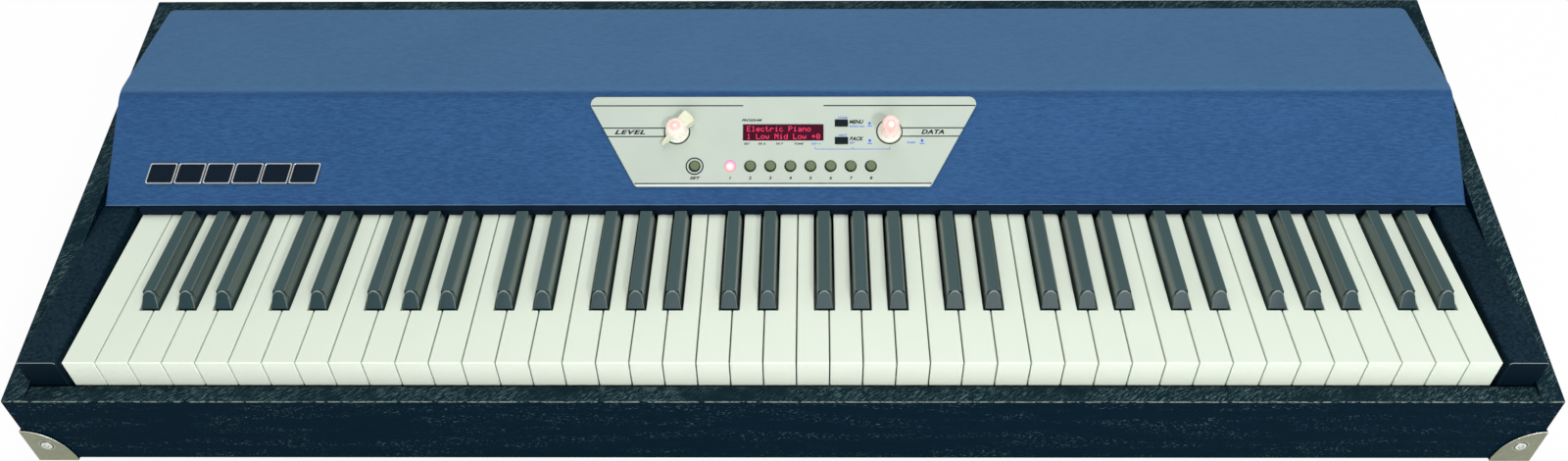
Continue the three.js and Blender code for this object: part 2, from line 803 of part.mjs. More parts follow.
// Cover outline, in the keyboard's frame: up the slope, over the crease and along the top
function coverOutline(depth, foot) {
  const radius = creaseRadius - depth;
  const top = coverTop - depth;
  const centreZ = coverTop - creaseRadius;
  const centreY = coverFront + slopeLength * slopeWay[0] - creaseRadius * slopeOut[0];
  const start = [coverFront - depth * slopeOut[0], coverLip - depth * slopeOut[1]];
  const drop = (start[1] - foot) / Math.tan(coverSlope);
  const back = coverBack - depth;
  return [
    ...(depth > 0 ? [[start[0] - drop, foot]] : [[coverFront - coverSheet * slopeOut[0], foot]]),
    [back, foot],
    [back, top],
    ...arc([centreY, centreZ], radius, quarter, quarter + coverSlope, creaseSteps),
    ...(depth > 0 ? [] : [start]),
  ];
}

// Slope group: x across, y up the slope from the cover's lower edge, z out of the surface
const slope = new THREE.Group();
slope.position.set(0, coverFront, coverLip);
slope.rotation.x = coverSlope;
keyboard.add(slope);

function panelOutline() {
  const corner = [panelTopHalf - panelCorner, panelTop - panelCorner];
  const right = [
    [panelBottomHalf - panelFootCorner, panelBottom],
    [panelBottomHalf, panelBottom + panelFootCorner],
    ...arc(corner, panelCorner, 0, quarter, cornerSteps),
  ];
  return [...right, ...right.map(([x, y]) => [-x, y]).reverse()];
}

// The slanted sides carry on to full corners inside the plate
function panelOpening() {
  const lean = (panelTopHalf - panelBottomHalf) / (panelTop - panelCorner - panelBottom - panelFootCorner);
  const halfAt = (y) => panelBottomHalf + (y - panelBottom - panelFootCorner) * lean - panelLapWidth;
  const low = panelBottom + panelLapWidth;
  const high = panelTop - panelLapWidth;
  return [[-halfAt(low), low], [halfAt(low), low], [halfAt(high), high], [-halfAt(high), high]];
}

function coverShell() {
  const half = coverHalf;
  const outer = profile(coverOutline(0, coverFoot), -half, half);
  const inner = profile(coverOutline(coverSheet, coverFoot - overrun), coverSheet - half, half - coverSheet);
  const radius = coverCornerRadius;
  const front = coverFront - overrun;
  const plan = plate([
    [-half - overrun, front],
    [half + overrun, front],
    [half + overrun, coverBack - radius],
    ...arc([half - radius, coverBack - radius], radius, 0, quarter, cornerSteps),
    ...arc([radius - half, coverBack - radius], radius, quarter, Math.PI, cornerSteps),
    [-half - overrun, coverBack - radius],
  ], coverFoot - overrun, coverTop + overrun);
  const hole = plate(panelOpening(), -coverSheet - overrun, overrun);
  return outer.intersect(plan).subtract(inner).subtract(onSlope(hole));
}

// A tool made in the slope's frame, carried over to the keyboard's frame
function onSlope(body) {
  const geometry = geometryOf(body);
  slope.updateMatrix();
  geometry.applyMatrix4(slope.matrix);
  return solid(geometry);
}

function cheekBlock(side) {
  const floor = boardFace + seam - keySurface;
  const back = coverFront + cheekLapLength;
  const seat = coverFoot - seam;
  const edge = coverFront - seam;
  const lean = Math.atan2(cheekRise, edge);
  const nose = arc([cheekRound, -cheekRound], cheekRound, Math.PI, quarter + lean, cornerSteps);
  const points = [
    [0, floor],
    [back, floor],
    [back, seat],
    [coverFront + seam, seat],
    [edge, cheekRise],
    ...nose.reverse(),
  ];
  return side < 0 ? profile(points, -cheekOuter, -cheekInner) : profile(points, cheekInner, cheekOuter);
}

// The strip that closes the gap over the keys, fixed under the cover's front edge
function fallboardStrip() {
  const under = coverSheet + seam;
  const foot = [coverFront - under * slopeOut[0], coverLip - under * slopeOut[1]];
  const stripBack = coverFront + stripLapLength;
  const half = cheekInner - seam;
  return profile([
    [stripFront, stripLiftHeight],
    [stripBack, stripLiftHeight],
    [stripBack, foot[1] + (stripBack - foot[0]) * Math.tan(coverSlope)],
    foot,
    [coverFront - seam, foot[1]],
    [coverFront - 2 * seam, coverLip - seam],
    [stripFront, stripLiftHeight + stripNoseHeight],
  ], -half, half);
}

function addCovers() {
  add(keyboard, 'left_cheek_block', cheekBlock(-1), looks.cheek());
  add(keyboard, 'right_cheek_block', cheekBlock(1), looks.cheek());
  add(keyboard, 'fallboard_strip', fallboardStrip(), looks.black());
  add(keyboard, 'top_cover', coverShell(), looks.vinyl());
}

// Control panel
const plateBack = seam;
const plateFace = seam + panelSheet;
const boardTopFace = -boardDrop;
const roundButtons = [bankX, ...patchPositions];
const menuX = displayWidth / 2 + menuGap + menuWidth / 2;
const menuUpperY = displayY + menuUpperRise;
const menuLowerY = displayY - menuLowerDrop;
const menuRows = [menuUpperY, menuLowerY];
const knobPlaces = [-knobX, knobX];
const bushingRadius = shaftRadius + shaftClearance + bushingWall;
const knobSocketRadius = bushingRadius + knobSocketClearance;

// A block about a centre in the panel, between two depths
function centred(x, y, width, height, z0, z1) {
  return block([x - width / 2, y - height / 2, z0], [x + width / 2, y + height / 2, z1]);
}

function panelPlate() {
  const through = [plateBack - overrun, plateFace + overrun];
  const holes = [
    centred(0, displayY, displayWidth, displayHeight, ...through),
    ...knobPlaces.map((x) => upright(x, knobY, bushingRadius + seam, ...through, roundSides)),
    ...roundButtons.map((x) => upright(x, buttonY, buttonRadius + seam, ...through, buttonSides)),
    ...menuRows.map((y) => centred(menuX, y, menuWidth + 2 * seam, menuHeight + 2 * seam, ...through)),
  ];
  return without(plate(panelOutline(), plateBack, plateFace), holes);
}

function displayModule() {
  const glass = centred(0, displayY, displayWidth - 2 * seam, displayHeight - 2 * seam,
    boardTopFace + seam, plateFace - displayRecess);
  const flange = centred(0, displayY, displayWidth + 2 * displayFlange, displayHeight + 2 * displayFlange,
    -displayFlangeSheet, 0);
  return glass.add(flange);
}

// Circuit board with its standoffs, key switches, potentiometer and encoder bodies
function controlBoard() {
  const card = centred(0, (boardBottom + boardTop) / 2, 2 * boardHalf, boardTop - boardBottom,
    boardTopFace - boardSheet, boardTopFace);
  const root = boardTopFace - boardSheet / 2;
  const standoffs = [-1, 1].flatMap((side) => [boardBottom + standoffInset, boardTop - standoffInset]
    .map((y) => upright(side * (boardHalf - standoffInset), y, standoffRadius, root, 0)));
  const switches = [
    ...roundButtons.map((x) => [x, buttonY]),
    ...menuRows.map((y) => [menuX, y]),
  ].map(([x, y]) => centred(x, y, switchSide, switchSide, root, boardTopFace + switchHeight));
  const pots = knobPlaces.flatMap((x) => [
    centred(x, knobY, potSide, potSide, root, boardTopFace + potHeight),
    upright(x, knobY, bushingRadius, root, plateFace + bushingRise, roundSides),
  ]);
  const bores = knobPlaces.map((x) => upright(x, knobY, shaftRadius + shaftClearance,
    boardTopFace + boreFloor, plateFace + bushingRise + overrun));
  return without(joined([card, ...standoffs, ...switches, ...pots]), bores);
}

// Cap, retaining flange and stem; the stem stops one travel above its switch
function roundButton(x) {
  const face = plateFace + buttonRise;
  const cap = turned(x, buttonY, [
    [0, -buttonFlangeSheet],
    [buttonRadius + buttonFlange, -buttonFlangeSheet],
    [buttonRadius + buttonFlange, 0],
    [buttonRadius, 0],
    [buttonRadius, face - buttonEdge],
    [0, face],
  ], buttonSides);
  return cap.add(upright(x, buttonY, buttonStemRadius, stemFoot(), -buttonFlangeSheet / 2, rodSides));
}

const stemFoot = () => boardTopFace + switchHeight + buttonTravel + seam;

function menuButton(y) {
  const face = plateFace + menuRise;
  const outline = [
    [menuX - menuWidth / 2, y - menuHeight / 2],
    [menuX + menuWidth / 2, y - menuHeight / 2],
    [menuX + menuWidth / 2, y + menuHeight / 2],
    [menuX - menuWidth / 2, y + menuHeight / 2],
  ];
  const cap = loft([
    atHeight(outline, -buttonFlangeSheet),
    atHeight(outline, face - buttonEdge / 2),
    atHeight(inset(outline, buttonEdge / 2), face),
  ]);
  const flange = centred(menuX, y, menuWidth + 2 * buttonFlange, menuHeight + 2 * buttonFlange,
    -buttonFlangeSheet, 0);
  const stem = upright(menuX, y, buttonStemRadius, stemFoot(), -buttonFlangeSheet / 2, rodSides);
  return joined([cap, flange, stem]);
}

const knobFoot = plateFace + knobLift;

// Shaft and the socket under a knob
function knobShaft(x, end) {
  return upright(x, knobY, shaftRadius, end, knobFoot + knobSocketDepth + overrun);
}

function volumeKnob() {
  const x = -knobX;
  const centre = knobFoot + volumeDomeHeight;
  const body = turned(x, knobY, [
    [0, knobFoot + knobSocketDepth],
    [knobSocketRadius, knobFoot + knobSocketDepth],
    [knobSocketRadius, knobFoot],
    [volumeSkirtRadius, knobFoot],
    [volumeSkirtRadius, knobFoot + volumeSkirtHeight / 2],
    [volumeHubRadius, knobFoot + volumeSkirtHeight],
    ...arc([0, centre], volumeHubRadius, 0, quarter, domeSteps).slice(0, domeSteps),
    [0, centre + volumeHubRadius],
  ]);
  const bar = volumeBar();
  return joined([body, turnedAbout(bar, x, knobY, pointerTurn), knobShaft(x, shaftEnd())]);
}

const shaftEnd = () => boardTopFace + boreFloor + shaftEndGap;

// Pointer ahead of the hub and grip block behind it, pointing up the slope about the origin
function volumeBar() {
  const foot = knobFoot + volumeSkirtHeight / 4;
  const top = knobFoot + barHeight;
  const tailAngle = Math.asin(barTailHalf / barTailReach);
  const tail = [
    [-barRootHalf, 0],
    ...arc([0, 0], barTailReach, -quarter - tailAngle, -quarter + tailAngle, cornerSteps),
    [barRootHalf, 0],
  ];
  const grip = loft([
    atHeight(tail, foot),
    atHeight(tail, top - barEdge),
    atHeight(inset(tail, barEdge), top),
  ]);
  const wedge = (half, y, height) => [
    [-half, y, foot],
    [half, y, foot],
    [half / 2, y, height],
    [-half / 2, y, height],
  ];
  const tip = wedge(barTipHalf, barTipReach, knobFoot + barTipHeight);
  return grip.add(sideLoft(wedge(barRootHalf, 0, top), tip));
}

// Two four-cornered sections facing along Y, joined into a wedge
function sideLoft(near, far) {
  const index = [
    0, 1, 5, 0, 5, 4,
    1, 2, 6, 1, 6, 5,
    2, 3, 7, 2, 7, 6,
    3, 0, 4, 3, 4, 7,
    0, 3, 2, 0, 2, 1,
    4, 5, 6, 4, 6, 7,
  ];
  const geometry = new THREE.BufferGeometry();
  geometry.setAttribute('position', new THREE.Float32BufferAttribute([...near, ...far].flat(), 3));
  geometry.setIndex(index.reverse());
  return solid(geometry);
}

function turnedAbout(body, x, y, angle) {
  const geometry = geometryOf(body);
  geometry.rotateZ(angle);
  geometry.translate(x, y, 0);
  return solid(geometry);
}

function valueKnob() {
  const x = knobX;
  const centre = knobFoot + valueDomeHeight;
  const body = turned(x, knobY, [
    [0, knobFoot + knobSocketDepth],
    [knobSocketRadius, knobFoot + knobSocketDepth],
    [knobSocketRadius, knobFoot],
    [valueBaseRadius, knobFoot],
    [valueBaseRadius, knobFoot + valueBandHeight],
    ...arc([0, centre], valueDomeRadius, 0, quarter, domeSteps).slice(0, domeSteps),
    [0, centre + valueDomeRadius],
  ]);
  return body.add(knobShaft(x, plungerTop() + seam));
}

// The push switch under the encoder shaft
const plungerTop = () => boardTopFace + boreFloor + pushTravel + seam + plungerHeight;

function pushPlunger() {
  return upright(knobX, knobY, shaftRadius, plungerTop() - plungerHeight, plungerTop());
}

const badgeLeft = badgeMargin - coverHalf;

function badgeTile(i) {
  const left = badgeLeft + i * badgePitch;
  const right = left + badgePitch - badgeTileGap;
  const corners = [
    [left, badgeBottom],
    [right, badgeBottom],
    [right + badgeSlant, badgeBottom + badgeHeight],
    [left + badgeSlant, badgeBottom + badgeHeight],
  ];
  const outline = clipped(corners, badgeCorner);
  const tile = plate(outline, seam, seam + badgeThickness);
  const recess = plate(inset(corners, badgeRim), seam + badgeThickness - badgeRecess,
    seam + badgeThickness + overrun);
  return tile.subtract(recess);
}

// The outline with each corner cut off
function clipped(points, cut) {
  return points.flatMap((point, i) => {
    const before = points[(i + points.length - 1) % points.length];
    const after = points[(i + 1) % points.length];
    return [before, after].map((other) => {
      const way = new THREE.Vector2(other[0] - point[0], other[1] - point[1]).setLength(cut);
      return [point[0] + way.x, point[1] + way.y];
    });
  });
}

function badgePlate() {
  const right = badgeLeft + badgeTiles * badgePitch - badgeTileGap;
  const low = badgeBottom + badgeBackingInset;
  const high = badgeBottom + badgeHeight - badgeBackingInset;
  const backing = plate([
    [badgeLeft + badgeBackingInset, low],
    [right - badgeBackingInset, low],
    [right + badgeSlant - badgeBackingInset, high],
    [badgeLeft + badgeSlant + badgeBackingInset, high],
  ], seam, seam + badgeBacking);
  return joined([backing, ...Array.from({ length: badgeTiles }, (_, i) => badgeTile(i))]);
}

function addPanel() {
  add(slope, 'control_panel_plate', panelPlate(), looks.silver());
  add(slope, 'display_module', displayModule(), looks.display());
  add(slope, 'control_board', controlBoard(), looks.board());
  add(slope, 'bank_button', roundButton(bankX), looks.olive());
  patchPositions.forEach((x, i) => {
    add(slope, `patch_button_${i + 1}`, roundButton(x), i === 0 ? looks.lamp() : looks.olive());
  });
  add(slope, 'menu_button', menuButton(menuUpperY), looks.black());
  add(slope, 'back_button', menuButton(menuLowerY), looks.black());
  add(slope, 'volume_knob', volumeKnob(), looks.frosted());
  add(slope, 'value_knob', valueKnob(), looks.frosted());
  add(slope, 'value_push_plunger', pushPlunger(), looks.steel());
  add(slope, 'badge_plate', badgePlate(), looks.chrome());
}

// Rear connectors, from the middle of the recess on the plate's outer face
const rear = new THREE.Group();
rear.position.set(recessX, innerBack - seam, underside + recessBase + recessHeight / 2);
piano.add(rear);

// A block about a centre on the connector plate, between two depths
function socketBlock(x, width, height, y0, y1) {
  return block([x - width / 2, y0, -height / 2], [x + width / 2, y1, height / 2]);
}

function connectorPlate() {
  const half = recessWidth / 2 + connectorLapWidth;
  const tall = recessHeight / 2 + connectorLapWidth;
  const through = [-connectorSheet - overrun, overrun];
  const holes = [
    ...jackPositions.map((x) => depthbar(x, 0, jackBushing + seam, ...through)),
    ...dinPositions.map((x) => depthbar(x, 0, dinRadius + seam, ...through)),
    socketBlock(usbX, usbWidth + 2 * seam, usbHeight + 2 * seam, ...through),
    socketBlock(powerX, powerWidth + 2 * seam, powerHeight + 2 * seam, ...through),
  ];
  return without(block([-half, -connectorSheet, -tall], [half, 0, tall]), holes);
}

// Main board behind the connector plate, standing on four posts, with jacks, sockets and supply
function mainBoard() {
  const back = -connectorSheet - seam;
  const left = mainBoardLeft;
  const right = jackPositions[jackCount - 1] + jackBodyWidth / 2 + mainBoardMargin;
  const top = -jackBodyWidth / 2;
  const root = top - boardSheet / 2;
  const front = back - mainBoardDepth;
  const floor = boardFace + seam - rear.position.z;
  const posts = [left + mainBoardMargin, right - mainBoardMargin].flatMap((x) =>
    [front + mainBoardMargin, back - mainBoardMargin].map((y) =>
      upright(x, y, mainBoardPostRadius, floor, root, rodSides)));
  const jacks = jackPositions.flatMap((x) => [
    block([x - jackBodyWidth / 2, back - jackLength, root],
      [x + jackBodyWidth / 2, back, jackBodyWidth / 2]),
    depthbar(x, 0, jackBushing, back - overrun, jackRise),
  ]);
  const dins = dinPositions.flatMap((x) => [
    block([x - dinRadius, back - socketDepth, root], [x + dinRadius, back, dinRadius]),
    depthbar(x, 0, dinRadius, back - overrun, socketRise),
  ]);
  const usb = socketBlock(usbX, usbWidth, usbHeight, back - socketDepth, socketRise)
    .add(block([usbX - usbWidth / 2, back - socketDepth, root], [usbX + usbWidth / 2, back, 0]));
  const fittings = [
    block(
      [left + mainBoardMargin, front, root],
      [left + mainBoardMargin + supplyWidth, front + supplyDepth, top + supplyHeight],
    ),
    block(
      [right - mainBoardMargin - chipWidth, front, root],
      [right - mainBoardMargin, front + chipWidth, top + chipHeight],
    ),
  ];
  const bores = [
    ...jackPositions.map((x) => depthbar(x, 0, jackBore, back - jackLength + overrun, jackRise + overrun)),
    socketBlock(usbX, usbWidth - 2 * usbWall, usbHeight - 2 * usbWall, socketRise - usbRecess,
      socketRise + overrun),
  ];
  const card = block([left, front, top - boardSheet], [right, back, top]);
  return without(joined([card, ...posts, ...jacks, ...dins, usb, ...fittings]), bores);
}

function inletOutline() {
  const x = inletX;
  const half = inletWidth / 2;
  const tall = inletHeight / 2;
  return [
    [x - half, -tall],
    [x + half, -tall],
    [x + half, tall - inletCorner],
    [x + half - inletCorner, tall],
    [x - half + inletCorner, tall],
    [x - half, tall - inletCorner],
  ];
}

function powerModule() {
  const face = powerFlangeSheet + seam;
  const body = socketBlock(powerX, powerWidth, powerHeight, face - inletDepth - powerFloor, face);
  const flange = socketBlock(
    powerX, powerWidth + 2 * powerFlange, powerHeight + 2 * powerFlange, seam, face);
  const cavity = elevation(inletOutline(), face - inletDepth, face + overrun);
  const rockerHole = socketBlock(rockerX, rockerRoom, rockerWidth + 2 * seam,
    face - rockerPivot - rockerDepth - rockerRoomDepth, face + overrun);
  const pinPlaces = [[-1, -pinRise], [0, pinRise], [1, -pinRise]];
  const pins = pinPlaces.map(([step, z]) => {
    const x = inletX + step * pinPitch;
    const root = face - inletDepth;
    return block([x - pinWidth / 2, root - pinWidth, z - pinHeight / 2],
      [x + pinWidth / 2, root + pinLength, z + pinHeight / 2]);
  });
  return joined([without(body.add(flange), [cavity, rockerHole]), ...pins]);
}

// The rocker stands tipped to its on side
function addRocker() {
  const pivot = new THREE.Group();
  pivot.position.set(rockerX, powerFlangeSheet + seam - rockerPivot, 0);
  pivot.rotation.z = rockerTilt;
  rear.add(pivot);
  const half = rockerLength / 2;
  const outline = [
    [rockerTaper - half, -rockerDepth],
    [half - rockerTaper, -rockerDepth],
    [half, rockerPivot + rockerDish],
    [0, rockerPivot],
    [-half, rockerPivot + rockerDish],
  ];
  add(pivot, 'power_rocker', plate(outline, -rockerWidth / 2, rockerWidth / 2), looks.black());
}

function addRear() {
  add(rear, 'rear_connector_panel', connectorPlate(), looks.steel());
  add(rear, 'main_board', mainBoard(), looks.board());
  add(rear, 'power_inlet', powerModule(), looks.black());
  addRocker();
}

addCase();
addKeyboard();
addCovers();
addPanel();
addRear();

export default piano;
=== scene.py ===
import json
import math
import bmesh
import bpy
from mathutils import Matrix, Vector


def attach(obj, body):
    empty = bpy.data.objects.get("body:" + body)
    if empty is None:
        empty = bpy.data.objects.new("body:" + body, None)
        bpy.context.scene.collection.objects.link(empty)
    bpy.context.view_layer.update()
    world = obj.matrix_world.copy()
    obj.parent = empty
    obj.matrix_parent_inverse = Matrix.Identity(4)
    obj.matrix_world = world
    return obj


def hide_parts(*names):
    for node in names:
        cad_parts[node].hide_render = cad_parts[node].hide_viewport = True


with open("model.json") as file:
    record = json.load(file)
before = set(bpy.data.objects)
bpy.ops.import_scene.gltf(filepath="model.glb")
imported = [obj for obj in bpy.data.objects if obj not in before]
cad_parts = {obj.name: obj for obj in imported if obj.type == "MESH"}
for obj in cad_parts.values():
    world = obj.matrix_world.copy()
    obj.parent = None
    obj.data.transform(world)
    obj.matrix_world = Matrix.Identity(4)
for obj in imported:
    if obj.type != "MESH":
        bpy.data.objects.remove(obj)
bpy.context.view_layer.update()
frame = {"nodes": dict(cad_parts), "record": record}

# A stage electric piano. Sizes are in millimetres, and forms are made into metres as they become pieces.
MM = 0.001
SIDES = (("left", -1), ("right", 1))
CORNERS = [(f"{end_name}_{side_name}", end, side)
           for end_name, end in (("front", -1), ("rear", 1)) for side_name, side in SIDES]

# Case, from the piano's middle at floor height
WALL_OUT, WALL_IN = 552.2, 536.0
FRONT, BACK = -190.8, 191.5
RAIL_IN, BACK_IN = -176.0, 175.0
UNDERSIDE, FLOOR_TOP = 9.7, 22.0
RAIL_TOP, BACK_TOP = 77.0, 155.52
EDGE_ROUND, RAIL_LIP_ROUND, LONG_EDGE = 1.2, 1.5, 300
RECESS_LEFT, RECESS_RIGHT, RECESS_LOW, RECESS_HIGH = -490.0, -190.0, 36.0, 88.79

# Keyboard, from the middle of the naturals' front top edge
KEY_FRONT, KEY_TOP = -174.5, 100.0
PITCH, KEY_GAP = 23.54, 0.95
NATURAL_LENGTH, NATURAL_SKIRT = 152.6, 25.0
SHARP_FRONT, SHARP_BACK = 51.7, 144.5
SHARP_BASE, SHARP_TOP, SHARP_HEIGHT, SHARP_DEPTH = 12.2, 9.0, 10.5, 12.0
SHARP_LEAN, SHARP_CLEAR, SHARP_CROWN, SHARP_WORN, SHARP_TUCK = 7.5, 1.5, 4.9, 0.45, 0.6
KEY_ROUND, SHARP_ROUND, SHARP_STEPS = 0.8, 0.35, 16
NATURAL_PIVOT, SHARP_PIVOT, ROD_HEIGHT, ROD_RADIUS, ROD_PAST_ARM = 218, 203, -15, 2, 6.4
ARM_HALF, ARM_TOP, ARM_FOOT, ARM_LAP = 4, -2, -9, 9
BOSS_HALF, BOSS_SLOPE, BOSS_SIDE, BOSS_FOOT = 5, 2.5, -17.5, -20
NATURAL_STEPS = (0, 2, 4, 5, 7, 9, 11)
FIRST_NOTE, LAST_NOTE, MIDDLE_C = 16, 88, 48
CHEEK_IN, CHEEK_OUT, CHEEK_FOOT, CHEEK_RISE, CHEEK_BEND, CHEEK_BACK = 510.5, 538.2, -77.5, 4.6, 155, 190
CHEEK_ROUND, CHEEK_FRONT_ROUND = 2.2, 0.9

# Cover and slope, from the cover's lower front edge
SLOPE = math.radians(32.6)
SLOPE_Y, SLOPE_Z = 155.0, 7.0
COVER_HALF, COVER_BACK, COVER_FOOT, FOOT_SETBACK = 535.0, 350.2, 2.79, 2.7
COVER_SHEET, CREASE, CREASE_UP = 5.0, 28.0, 87.05
BACK_ROUND, END_ROUND, LOW_ROUND = 6, 2.6, 2.2
TOP_STARTS = 235.5

slope_turn = Matrix.Rotation(SLOPE, 4, "X")
body_place = Matrix.Translation((0, KEY_FRONT * MM, KEY_TOP * MM))
slope_place = body_place @ Matrix.Translation((0, SLOPE_Y * MM, SLOPE_Z * MM)) @ slope_turn


class Sock:
    """One value in a material; arithmetic on it adds Math nodes."""

    def __init__(self, paint, socket):
        self.paint, self.socket = paint, socket

    def math(self, operation, *values):
        return self.paint.node("Math", {"operation": operation}, dict(enumerate(values)))

    def __add__(self, other):
        return self.math("ADD", self, other)

    def __sub__(self, other):
        return self.math("SUBTRACT", self, other)

    def __rsub__(self, other):
        return self.math("SUBTRACT", other, self)

    def __mul__(self, other):
        return self.math("MULTIPLY", self, other)

    def __abs__(self):
        return self.math("ABSOLUTE", self)

    def step(self, start, end):
        """Rises smoothly from 0 at start to 1 at end."""
        return self.paint.node("MapRange", {"interpolation_type": "SMOOTHSTEP"},
                               {"Value": self, "From Min": start, "From Max": end})


looks = {}


class Paint:
    """A material, kept in looks by its name, and the nodes that vary it over the surface.
    Places and distances in a material are in metres."""

    def __init__(self, name, colour=None):
        self.colour = colour
        self.material = looks[name] = bpy.data.materials.new(name)
        self.material.use_nodes = True
        self.tree = self.material.node_tree
        self.shader = self.tree.nodes["Principled BSDF"]

    def node(self, kind, settings=None, sockets=None, out=0):
        node = self.tree.nodes.new("ShaderNode" + kind)
        for name, value in (settings or {}).items():
            setattr(node, name, value)
        for name, value in (sockets or {}).items():
            self.set(node.inputs[name], value)
        return Sock(self, node.outputs[out])

    def set(self, socket, value):
        if isinstance(value, Sock):
            self.tree.links.new(value.socket, socket)
        elif isinstance(value, tuple) and len(value) == 3 and socket.type == "RGBA":
            socket.default_value = (*value, 1)
        else:
            socket.default_value = value

    def place(self):
        return self.node("TexCoord", out="Object")

    def place_on(self, axis):
        return self.node("SeparateXYZ", None, {0: self.place()}, axis)

    def facing(self, axis):
        """How far the surface looks along an axis, from -1 to 1."""
        return self.node("SeparateXYZ", None, {0: self.node("NewGeometry", out="Normal")}, axis)

    def ahead(self):
        """How far the surface looks to the front."""
        return 0 - self.facing("Y")

    def scaled(self, vector, scale):
        return self.node("VectorMath", {"operation": "MULTIPLY"}, {0: vector, 1: scale})

    def reach(self, x=0, y=0):
        """Distance from an upright line."""
        offset = self.node("VectorMath", {"operation": "SUBTRACT"}, {0: self.place(), 1: (x, y, 0)})
        return self.node("VectorMath", {"operation": "LENGTH"}, {0: self.scaled(offset, (1, 1, 0))}, "Value")

    def noise(self, scale, detail=3, roughness=0.55, distortion=0, turn=0):
        """Noise with a scale for each axis, or one for all, and with its pattern turned about Z."""
        place = self.place()
        if turn:
            place = self.node("VectorRotate", {"rotation_type": "Z_AXIS"}, {"Vector": place, "Angle": turn})
        scale = scale if isinstance(scale, tuple) else (scale, scale, scale)
        return self.node("TexNoise", None, {"Vector": self.scaled(place, scale), "Scale": 1,
                         "Detail": detail, "Roughness": roughness, "Distortion": distortion})

    def blend(self, factor, first, second):
        return self.node("Mix", {"data_type": "RGBA"}, {0: factor, 6: first, 7: second}, 2)

    def layer(self, factor, tone):
        """Lays a tone over the colour so far."""
        self.colour = self.blend(factor, self.colour, tone)

    def mottle(self, low, high, speck=900):
        """Lets the colour wander between two tones; gives the fine part of what moves it."""
        fine, broad = self.noise(speck), self.noise(25, 2)
        self.colour = self.blend((fine * 0.5 + broad * 0.5).step(0.25, 0.75), low, high)
        return fine

    def bump(self, height, depth, strength=1.0):
        """Relief of a height from 0 to 1, as deep as given in millimetres."""
        return self.node("Bump", None, {"Height": height, "Distance": depth * MM, "Strength": strength})

    def surface(self, roughness, specular=0.5, **values):
        values.update(Base_Color=self.colour, Roughness=roughness, Specular_IOR_Level=specular)
        for name, value in values.items():
            self.set(self.shader.inputs[name.replace("_", " ")], value)


def shade(colour, factor, more=0.0):
    return tuple(min(1, part * factor + more) for part in colour)


def tolex(name):
    """Bark-grained black cloth, with painted highlights: glinting dashes on upright faces, glinting oblique
    streaks on top and a broken highlight along rounded edges; faces that look up get a painted sheen.
    """
    paint = Paint(name)
    rise = paint.facing("Z")
    # faces that look up get a painted sheen
    upward = rise.step(0.9, 0.97)
    # rounded edges get a painted highlight, strongest where they look ahead
    edge = rise.step(0.12, 0.4) * (1 - rise.step(0.86, 0.97)) * (paint.ahead().step(0.1, 0.5) * 0.65 + 0.35)
    bark = paint.noise((70, 200, 300), 6, 0.65, 0.8)
    rows = paint.noise((12, 20, 90), 2, 0.6).step(0.45, 0.60)
    # painted highlights on the grain: glinting dashes on upright faces, glinting oblique streaks in patches
    # on top
    glint_dashes = paint.noise((420, 480, 1300), 2, 0.5, 0.2).step(0.61, 0.70) * rows
    glint_streaks = paint.noise((190, 1100, 300), 3, 0.6, 0.8, math.radians(-38)).step(0.48, 0.68)
    patches = paint.noise(30, 2, 0.6).step(0.25, 0.6)
    # breaks up the painted highlight along the rounded edges
    broken_highlight = paint.noise((170, 300, 300), 4, 0.7).step(0.40, 0.56)
    painted_glints = glint_dashes * (1 - upward) * (1 - edge) * 0.55 + glint_streaks * patches * upward + broken_highlight * edge
    paint.colour = paint.blend(bark, (0.0002, 0.0052, 0.0108), (0.0016, 0.0120, 0.0230))
    # painted sheen on faces that look up
    paint.layer(upward * 0.6, (0.0080, 0.0240, 0.0315))
    # the painted highlights of grain and edges, paler along the edges
    paint.layer(painted_glints, paint.blend(edge, (0.085, 0.150, 0.155), (0.16, 0.20, 0.175)))
    paint.surface(bark * 0.2 + 0.5, 0.015, Normal=paint.bump(bark * 0.7 + painted_glints * 0.4, 0.45, 0.8))


def grained_vinyl(name, low, high, grain, depth, specular, edge_highlight, top=None, front_shade=None):
    """Fine leather grain, drawn out along the piano's length, between a low and a high tone. A top has its
    own two lighter tones from TOP_STARTS on, a painted sheen, with a line of painted shade before it. The
    edge tone is a painted highlight on rounded front edges; a front tone is painted shade on faces that look
    ahead."""
    paint = Paint(name)
    waves = paint.noise(grain, 4, 0.6, 0.7)
    grains = (waves * 0.8 + paint.noise((9, 14, 14), 2) * 0.2).step(0.35, 0.65)
    paint.colour = paint.blend(grains, low, high)
    if top:
        along, start = paint.place_on("Y"), TOP_STARTS * MM
        # a line of painted shade where the slope turns into the top
        near = abs(along - (start - 0.0035))
        paint.layer((1 - near.step(0.001, 0.004)) * 0.22, (0.005, 0.03, 0.08))
        # painted sheen: the top's lighter tones
        paint.layer(along.step(start - 0.002, start + 0.002), paint.blend(grains, *top))
    # painted highlight along rounded front edges
    paint.layer(paint.ahead().step(0.56, 0.65) * paint.facing("Z").step(0.0, 0.25), edge_highlight)
    # painted shade on faces that look ahead
    if front_shade:
        paint.layer(paint.ahead().step(0.85, 0.98), front_shade)
    paint.surface(waves * 0.2 + 0.4, specular, Normal=paint.bump(waves, depth, 0.6))


def moulded(name, colour, roughness, vary=0.04, speck=900, depth=0.0, **more):
    """Moulded, coated or printed surface with a faint unevenness."""
    paint = Paint(name)
    fine = paint.mottle(shade(colour, 1 - vary), shade(colour, 1 + vary), speck)
    if depth:
        more["Normal"] = paint.bump(fine, depth, 0.5)
    paint.surface(fine * 0.1 + (roughness - 0.05), **more)


